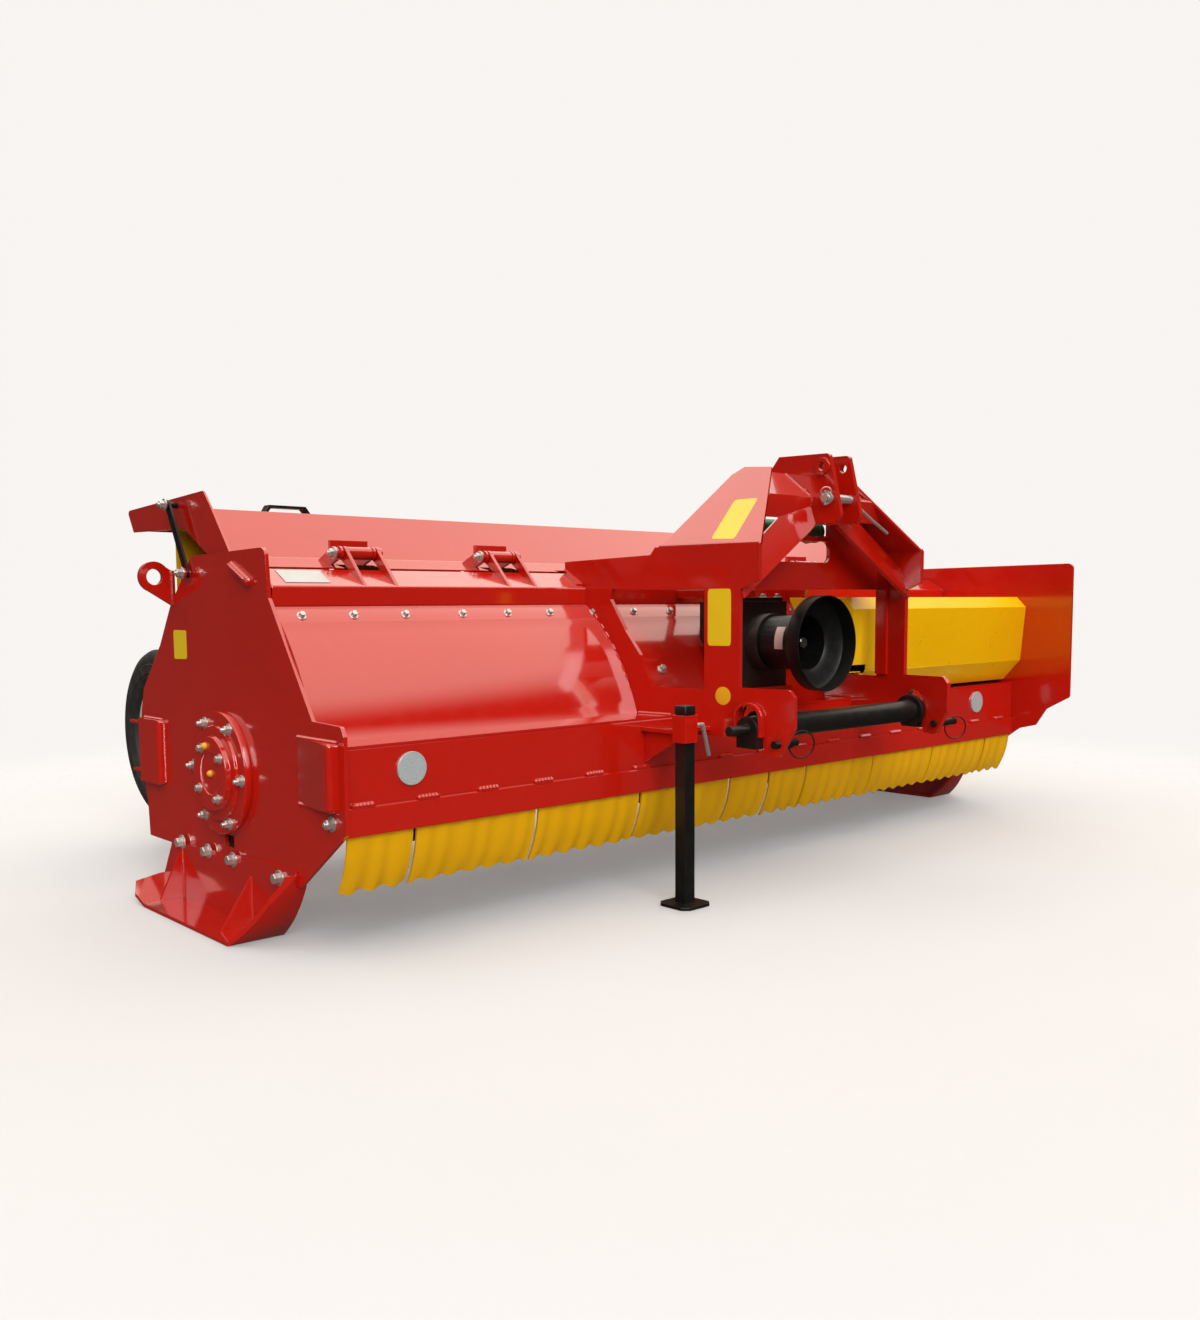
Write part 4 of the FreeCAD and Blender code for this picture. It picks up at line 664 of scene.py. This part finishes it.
def tyre_profile(half, radius, rim):
    """A closed outline as (along, radius): side wall, ribs, side wall and the inside."""
    wall = [(-half + 24, rim + 1), (-half + 10, rim + 8), (-half + 3, rim + 20), (-half + 1, rim + 30),
            (-half + 4, rim + 33), (-half + 1, rim + 36), (-half, radius - 70), (-half + 1.5, radius - 52),
            (-half + 5, radius - 49), (-half + 4, radius - 44), (-half + 9, radius - 26),
            (-half + 17, radius - 12), (-half + 26, radius - 6)]
    outline = list(wall)
    rib = (2 * (half - SHOULDER) - GROOVE * (RIBS - 1)) / RIBS
    x = -half + SHOULDER
    for i in range(RIBS):
        crown = 1.2 * abs(i - RIBS // 2) ** 1.6
        outline += [(x, radius - 1.5 - crown), (x + 2, radius - crown), (x + rib - 2, radius - crown),
                    (x + rib, radius - 1.5 - crown)]
        if i < RIBS - 1:
            outline += [(x + rib + 1, radius - 9 - crown), (x + rib + GROOVE - 1, radius - 9 - crown)]
        x += rib + GROOVE
    outline += [(-along, reach) for along, reach in wall[::-1]]
    inside = [(half - 30, rim + 6), (half - 18, radius - 60), (half - 30, radius - 16)]
    return outline + inside + [(-along, reach) for along, reach in inside[::-1]]


for name, side in (("left", -1), ("right", 1)):
    low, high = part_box(f"tyre_{name}")
    middle = (low + high) / 2
    bm = bmesh.new()
    profile = tyre_profile(TYRE_HALF_WIDTH, (high.z - low.z) / 2 / MM - 0.2, RIM_RADIUS)
    turn(bm, middle, X_AXIS, profile, 120, closed=True)
    tyre = finished(f"ribbed_tyre_{name}", bm, f"wheel_{name}", TYRE_RUBBER, sharp=28)
    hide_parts(f"tyre_{name}")
    bm = bmesh.new()
    for i in range(NUTS):
        angle = math.tau * i / NUTS + 0.3
        reach = Vector((0, math.cos(angle), math.sin(angle))) * NUT_CIRCLE * MM
        bolt(bm, middle + X_AXIS * side * 18 * MM + reach, X_AXIS * side, 19, stud=5)
    valve = [middle + Vector((side * 15, 118, 60)) * MM, middle + Vector((side * 44, 120, 61)) * MM]
    sweep(bm, valve, 4, 10)
    finished(f"wheel_nuts_{name}", bm, f"wheel_{name}", ZINC)

# %% [markdown]
# ### The drive stub
# The tractor's shaft slides on a stub with six splines, 35 mm over their tops. The yoke's
# lock pin drops into a groove. The spline is one radius that steps up and down round the
# axis, and the groove is a dip in the profile.

# %% A splined stub
SPLINES, SPLINE_STEPS = 6, 12
TOP, GROOVED = 17.4, 15


def spline(i):
    """The share of the radius at step i: seven steps on a spline, then five between two."""
    return 1.0 if i % SPLINE_STEPS < 7 else 0.86


low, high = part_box("input_shaft")
length = (high.y - low.y) / MM
bm = bmesh.new()
centre = Vector(((low.x + high.x) / 2, low.y, (low.z + high.z) / 2))
turn(bm, centre, Y_AXIS,
     [(0, 15.5), (2.5, TOP), (27, TOP), (28.5, GROOVED), (36, GROOVED), (37.5, TOP), (100, TOP)],
     SPLINES * SPLINE_STEPS, tooth=spline)
turn(bm, centre, Y_AXIS, [(99, 20), (101, 22), (length - 1, 22), (length, 21)], 40)
stub = finished("splined_drive_stub", bm, "input_shaft", MACHINED, sharp=25)
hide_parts("input_shaft")

# %% [markdown]
# ### Pins, rings and caps
# A hitch pin is kept from creeping out by a spring ring or a clip through its end.
# Each is bent from round wire. A path of points, swept by a small circle, bends the same way.

# %% Rings, clips and the bent handle
RING_WIRE = 2.0
HANDLE = ((78, -257, 1112), (92, -257, 1098), (150, -260, 1066), (228, -262, 1030))


def wire_ring(bm, centre, normal, radius):
    """A ring of round wire in the plane square to normal."""
    side, up = square_to(Vector(normal).normalized())
    sweep(bm, circle(centre, side, up, radius, 40), RING_WIRE, closed=True)


bm = bmesh.new()
wire_ring(bm, place(-291, -347, 437), (0.42, 0.9, 0.1), 38)
wire_ring(bm, place(497, -346, 424), (0.5, 0.86, 0.1), 36)
finished("spring_rings", bm, "frame", BLACK)

bm = bmesh.new()
wire_ring(bm, place(-78, -262, 1136), (0.8, 0.5, 0.35), 15)
sweep(bm, [place(-77, -257, 1142), place(-77, -257, 1100)], 4, 10)
turn(bm, place(-66, -257, 1121), -X_AXIS, [(0, 19), (3, 20), (6, 19)])
sweep(bm, [place(*spot) for spot in HANDLE], 4.5, 10)
finished("top_pin_clip", bm, "frame", ZINC)

# %% [markdown]
# Small plastic parts finish the machine: the leg's end cap, a black seal inside the slot
# below each rotor bearing, and the blank label strip on the shield's neck.

# %% End cap, slot seals and neck label
def rounded_square(centre, half, corner, inset, height):
    """One ring of a square block with rounded corners, drawn in by inset, sizes in mm."""
    ring = []
    for quarter, (sx, sy) in enumerate(((1, 1), (-1, 1), (-1, -1), (1, -1))):
        for step in range(5):
            angle = math.radians(90 * quarter + 22.5 * step)
            ring.append(centre + Vector((sx * (half - corner) + (corner - inset) * math.cos(angle),
                                         sy * (half - corner) + (corner - inset) * math.sin(angle),
                                         height)) * MM)
    return ring


bm = bmesh.new()
LEG_TOP = place(-545, -150, 526)
skin(bm, [rounded_square(LEG_TOP, 21.5, 5, inset, height)
          for height, inset in ((0, 0), (19, 0), (21.5, 1.5), (22.5, 4))])
finished("leg_end_cap", bm, "stand", MOULDED)

bm = bmesh.new()
for side in (-1, 1):
    turn(bm, place(side * 1499.5, 579, 209.5), -X_AXIS * side, [(0, 46), (5, 46), (6, 44)], 4)
finished("slot_seals", bm, "frame", MOULDED)

SHAFT_Z = 702
bm = bmesh.new()
rings = []
for i in range(9):
    angle = math.radians(168 + 48 * i / 8)
    rings.append([place(math.cos(angle) * r, y, SHAFT_Z - math.sin(angle) * r) for r, y in
                  ((81.5, -80), (83.2, -80), (83.9, -112), (82.5, -112))])
skin(bm, rings)
finished("neck_label_blank", bm, "frame", PALE_STICKER)

# %% [markdown]
# A green tube with two caps hangs behind the mast and keeps the handbook dry. Two wire
# clips reach back from the mast and curl round under it.

# %% Document tube and its clips
TUBE_Y, TUBE_Z = 22, 1048
bm = bmesh.new()
turn(bm, place(-70, TUBE_Y, TUBE_Z), X_AXIS,
     [(0, 28), (3, 33), (8, 34), (26, 34), (27, 32), (300, 32), (301, 34), (318, 34), (323, 33),
      (326, 28)], 36)
finished("document_tube", bm, "frame", GREEN_CAP)
bm = bmesh.new()
for x in (-58, 205):
    points = [place(x, -100, 990), place(x, -60, 1006), place(x, -14, 1030)]
    points += [place(x, TUBE_Y - 36 * math.cos(t), TUBE_Z - 36 * math.sin(t))
               for t in (0.5, 1.1, 1.7, 2.3, 2.9)]
    sweep(bm, points, 3)
finished("document_tube_clips", bm, "frame", ZINC)

# %% [markdown]
# ## Floor, light and camera
# The machine stands on pale paper that is also the backdrop. The floor is half clear, so
# its shadows stay light, and it fades out before its edge, so no horizon line is left.

# %% Floor
FLOOR_RADIUS, FLOOR_UNDERSIDE = 4600, -12
bm = bmesh.new()
turn(bm, Vector((0, 0, FLOOR_UNDERSIDE * MM)), Z_AXIS,
     [(0, FLOOR_RADIUS), (11, FLOOR_RADIUS), (11.5, FLOOR_RADIUS - 10)], 96)
floor_mesh = bpy.data.meshes.new("studio_floor")
bm.to_mesh(floor_mesh)
bm.free()
floor = bpy.data.objects.new("studio_floor", floor_mesh)
bpy.context.scene.collection.objects.link(floor)
floor_finish, tree = blank_material("matt_studio_floor")
where = add(tree, "ShaderNodeTexCoord").outputs["Object"]
cloud = add(tree, "ShaderNodeTexNoise", {"Vector": where, "Scale": 1.5, "Detail": 3.0})
tone = add(tree, "ShaderNodeMix", {0: cloud.outputs["Fac"], 6: paint("#DCDEE2"), 7: paint("#D9DBDF")},
           data_type="RGBA")
shader = add(tree, "ShaderNodeBsdfPrincipled", {"Base Color": tone.outputs[2], "Roughness": 0.9,
                                                "Specular IOR Level": 0.0})
reach = add(tree, "ShaderNodeVectorMath", {0: where}, operation="LENGTH").outputs["Value"]
fade = add(tree, "ShaderNodeMapRange", {"Value": reach, "From Min": 2.0, "From Max": 4.2, "To Min": 0.45},
           interpolation_type="SMOOTHSTEP").outputs["Result"]
clear = add(tree, "ShaderNodeBsdfTransparent")
faded = add(tree, "ShaderNodeMixShader", {0: fade, 1: shader.outputs["BSDF"], 2: clear.outputs["BSDF"]})
add(tree, "ShaderNodeOutputMaterial", {"Surface": faded.outputs["Shader"]})
floor_mesh.materials.append(floor_finish)
floor.visible_glossy = False
print("floor radius in metres:", FLOOR_RADIUS * MM)

# %% [markdown]
# Gloss paint shows the room it stands in. This room is dark in front, to the left and
# below, so the end plate and the beam keep a deep red. A wide pale ceiling lays pink gloss
# on every face that looks up. The pale wall behind, on the right, is mirrored only by
# faces seen at a low angle, such as the hood's roof. The camera itself sees plain paper.

# %% Room
ROOM_DARK, ROOM_PALE, CEILING = 0.05, 1.10, 1.85
world = bpy.data.worlds.new("pale_room")
world.use_nodes = True
room = world.node_tree
room.nodes.clear()

facing = add(room, "ShaderNodeTexCoord").outputs["Generated"]
heading = add(room, "ShaderNodeSeparateXYZ", {"Vector": facing}).outputs
zones = []
for part, low, high, top in (("X", 0.05, 0.40, 1.0), ("Y", 0.0, 0.40, 1.0), ("Z", -0.08, 0.04, ROOM_PALE),
                             ("Z", 0.46, 0.66, CEILING)):
    zone = add(room, "ShaderNodeMapRange", {"Value": heading[part], "From Min": low, "From Max": high,
                                            "To Max": top}, interpolation_type="SMOOTHSTEP")
    zones.append(zone.outputs["Result"])
to_the_right, to_the_rear, above_floor, ceiling = zones
wall = add(room, "ShaderNodeMath", {0: to_the_right, 1: to_the_rear}, operation="MULTIPLY").outputs[0]
wall = add(room, "ShaderNodeMath", {0: wall, 1: above_floor}, operation="MULTIPLY").outputs[0]
lit = add(room, "ShaderNodeMath", {0: wall, 1: ceiling}, operation="MAXIMUM").outputs[0]
lit = add(room, "ShaderNodeMath", {0: lit, 1: ROOM_DARK}, operation="MAXIMUM").outputs[0]
seen = add(room, "ShaderNodeLightPath").outputs["Is Camera Ray"]
glow = add(room, "ShaderNodeBackground", {"Color": paint("#FFF4E6"), "Strength": lit})
paper = add(room, "ShaderNodeBackground", {"Color": paint("#F8F5F2"), "Strength": 1.0})
room_light = add(room, "ShaderNodeMixShader", {0: seen, 1: glow.outputs["Background"],
                                               2: paper.outputs["Background"]})
add(room, "ShaderNodeOutputWorld", {"Surface": room_light.outputs["Shader"]})
bpy.context.scene.world = world
print("light of dark room, pale wall and ceiling:", ROOM_DARK, ROOM_PALE, CEILING)

# %% [markdown]
# One large soft lamp stands in front, to the left and above. It gives the front faces
# their full red and draws a soft shadow under the machine.

# %% Lamp
key = bpy.data.lights.new("key_lamp", "SUN")
key.energy = 2.1
key.angle = math.radians(35)
key_holder = bpy.data.objects.new("key_lamp", key)
key_holder.rotation_euler = Vector((0.40, 0.78, -0.48)).to_track_quat("-Z", "Y").to_euler()
bpy.context.scene.collection.objects.link(key_holder)

# %% [markdown]
# The camera stands off the machine's front left corner at hip height, and looks a little
# down. The long side of its sensor is 36 mm, the usual frame.

# %% Camera
CAMERA_PLACE = place(-2842, -2321, 823.5)
VIEW_TURN, VIEW_TILT, VIEW_ROLL = math.radians(42.59), math.radians(5.21), math.radians(0.36)
ahead = Vector((math.sin(VIEW_TURN) * math.cos(VIEW_TILT), math.cos(VIEW_TURN) * math.cos(VIEW_TILT),
                -math.sin(VIEW_TILT)))
level_right = Vector((math.cos(VIEW_TURN), -math.sin(VIEW_TURN), 0))
level_down = ahead.cross(level_right)
right = level_right * math.cos(VIEW_ROLL) + level_down * math.sin(VIEW_ROLL)
down = level_down * math.cos(VIEW_ROLL) - level_right * math.sin(VIEW_ROLL)
lens = bpy.data.cameras.new("studio_camera")
lens.lens = 31.99
lens.sensor_width = 36.0
lens.shift_x, lens.shift_y = -0.00205, 0.0383
camera = bpy.data.objects.new("studio_camera", lens)
turned = Matrix((right, -down, -ahead)).transposed().to_4x4()
camera.matrix_world = Matrix.Translation(CAMERA_PLACE) @ turned
bpy.context.scene.collection.objects.link(camera)
bpy.context.scene.camera = camera
bpy.context.scene.view_settings.view_transform = "Standard"
print("camera at", [round(v, 3) for v in camera.location])
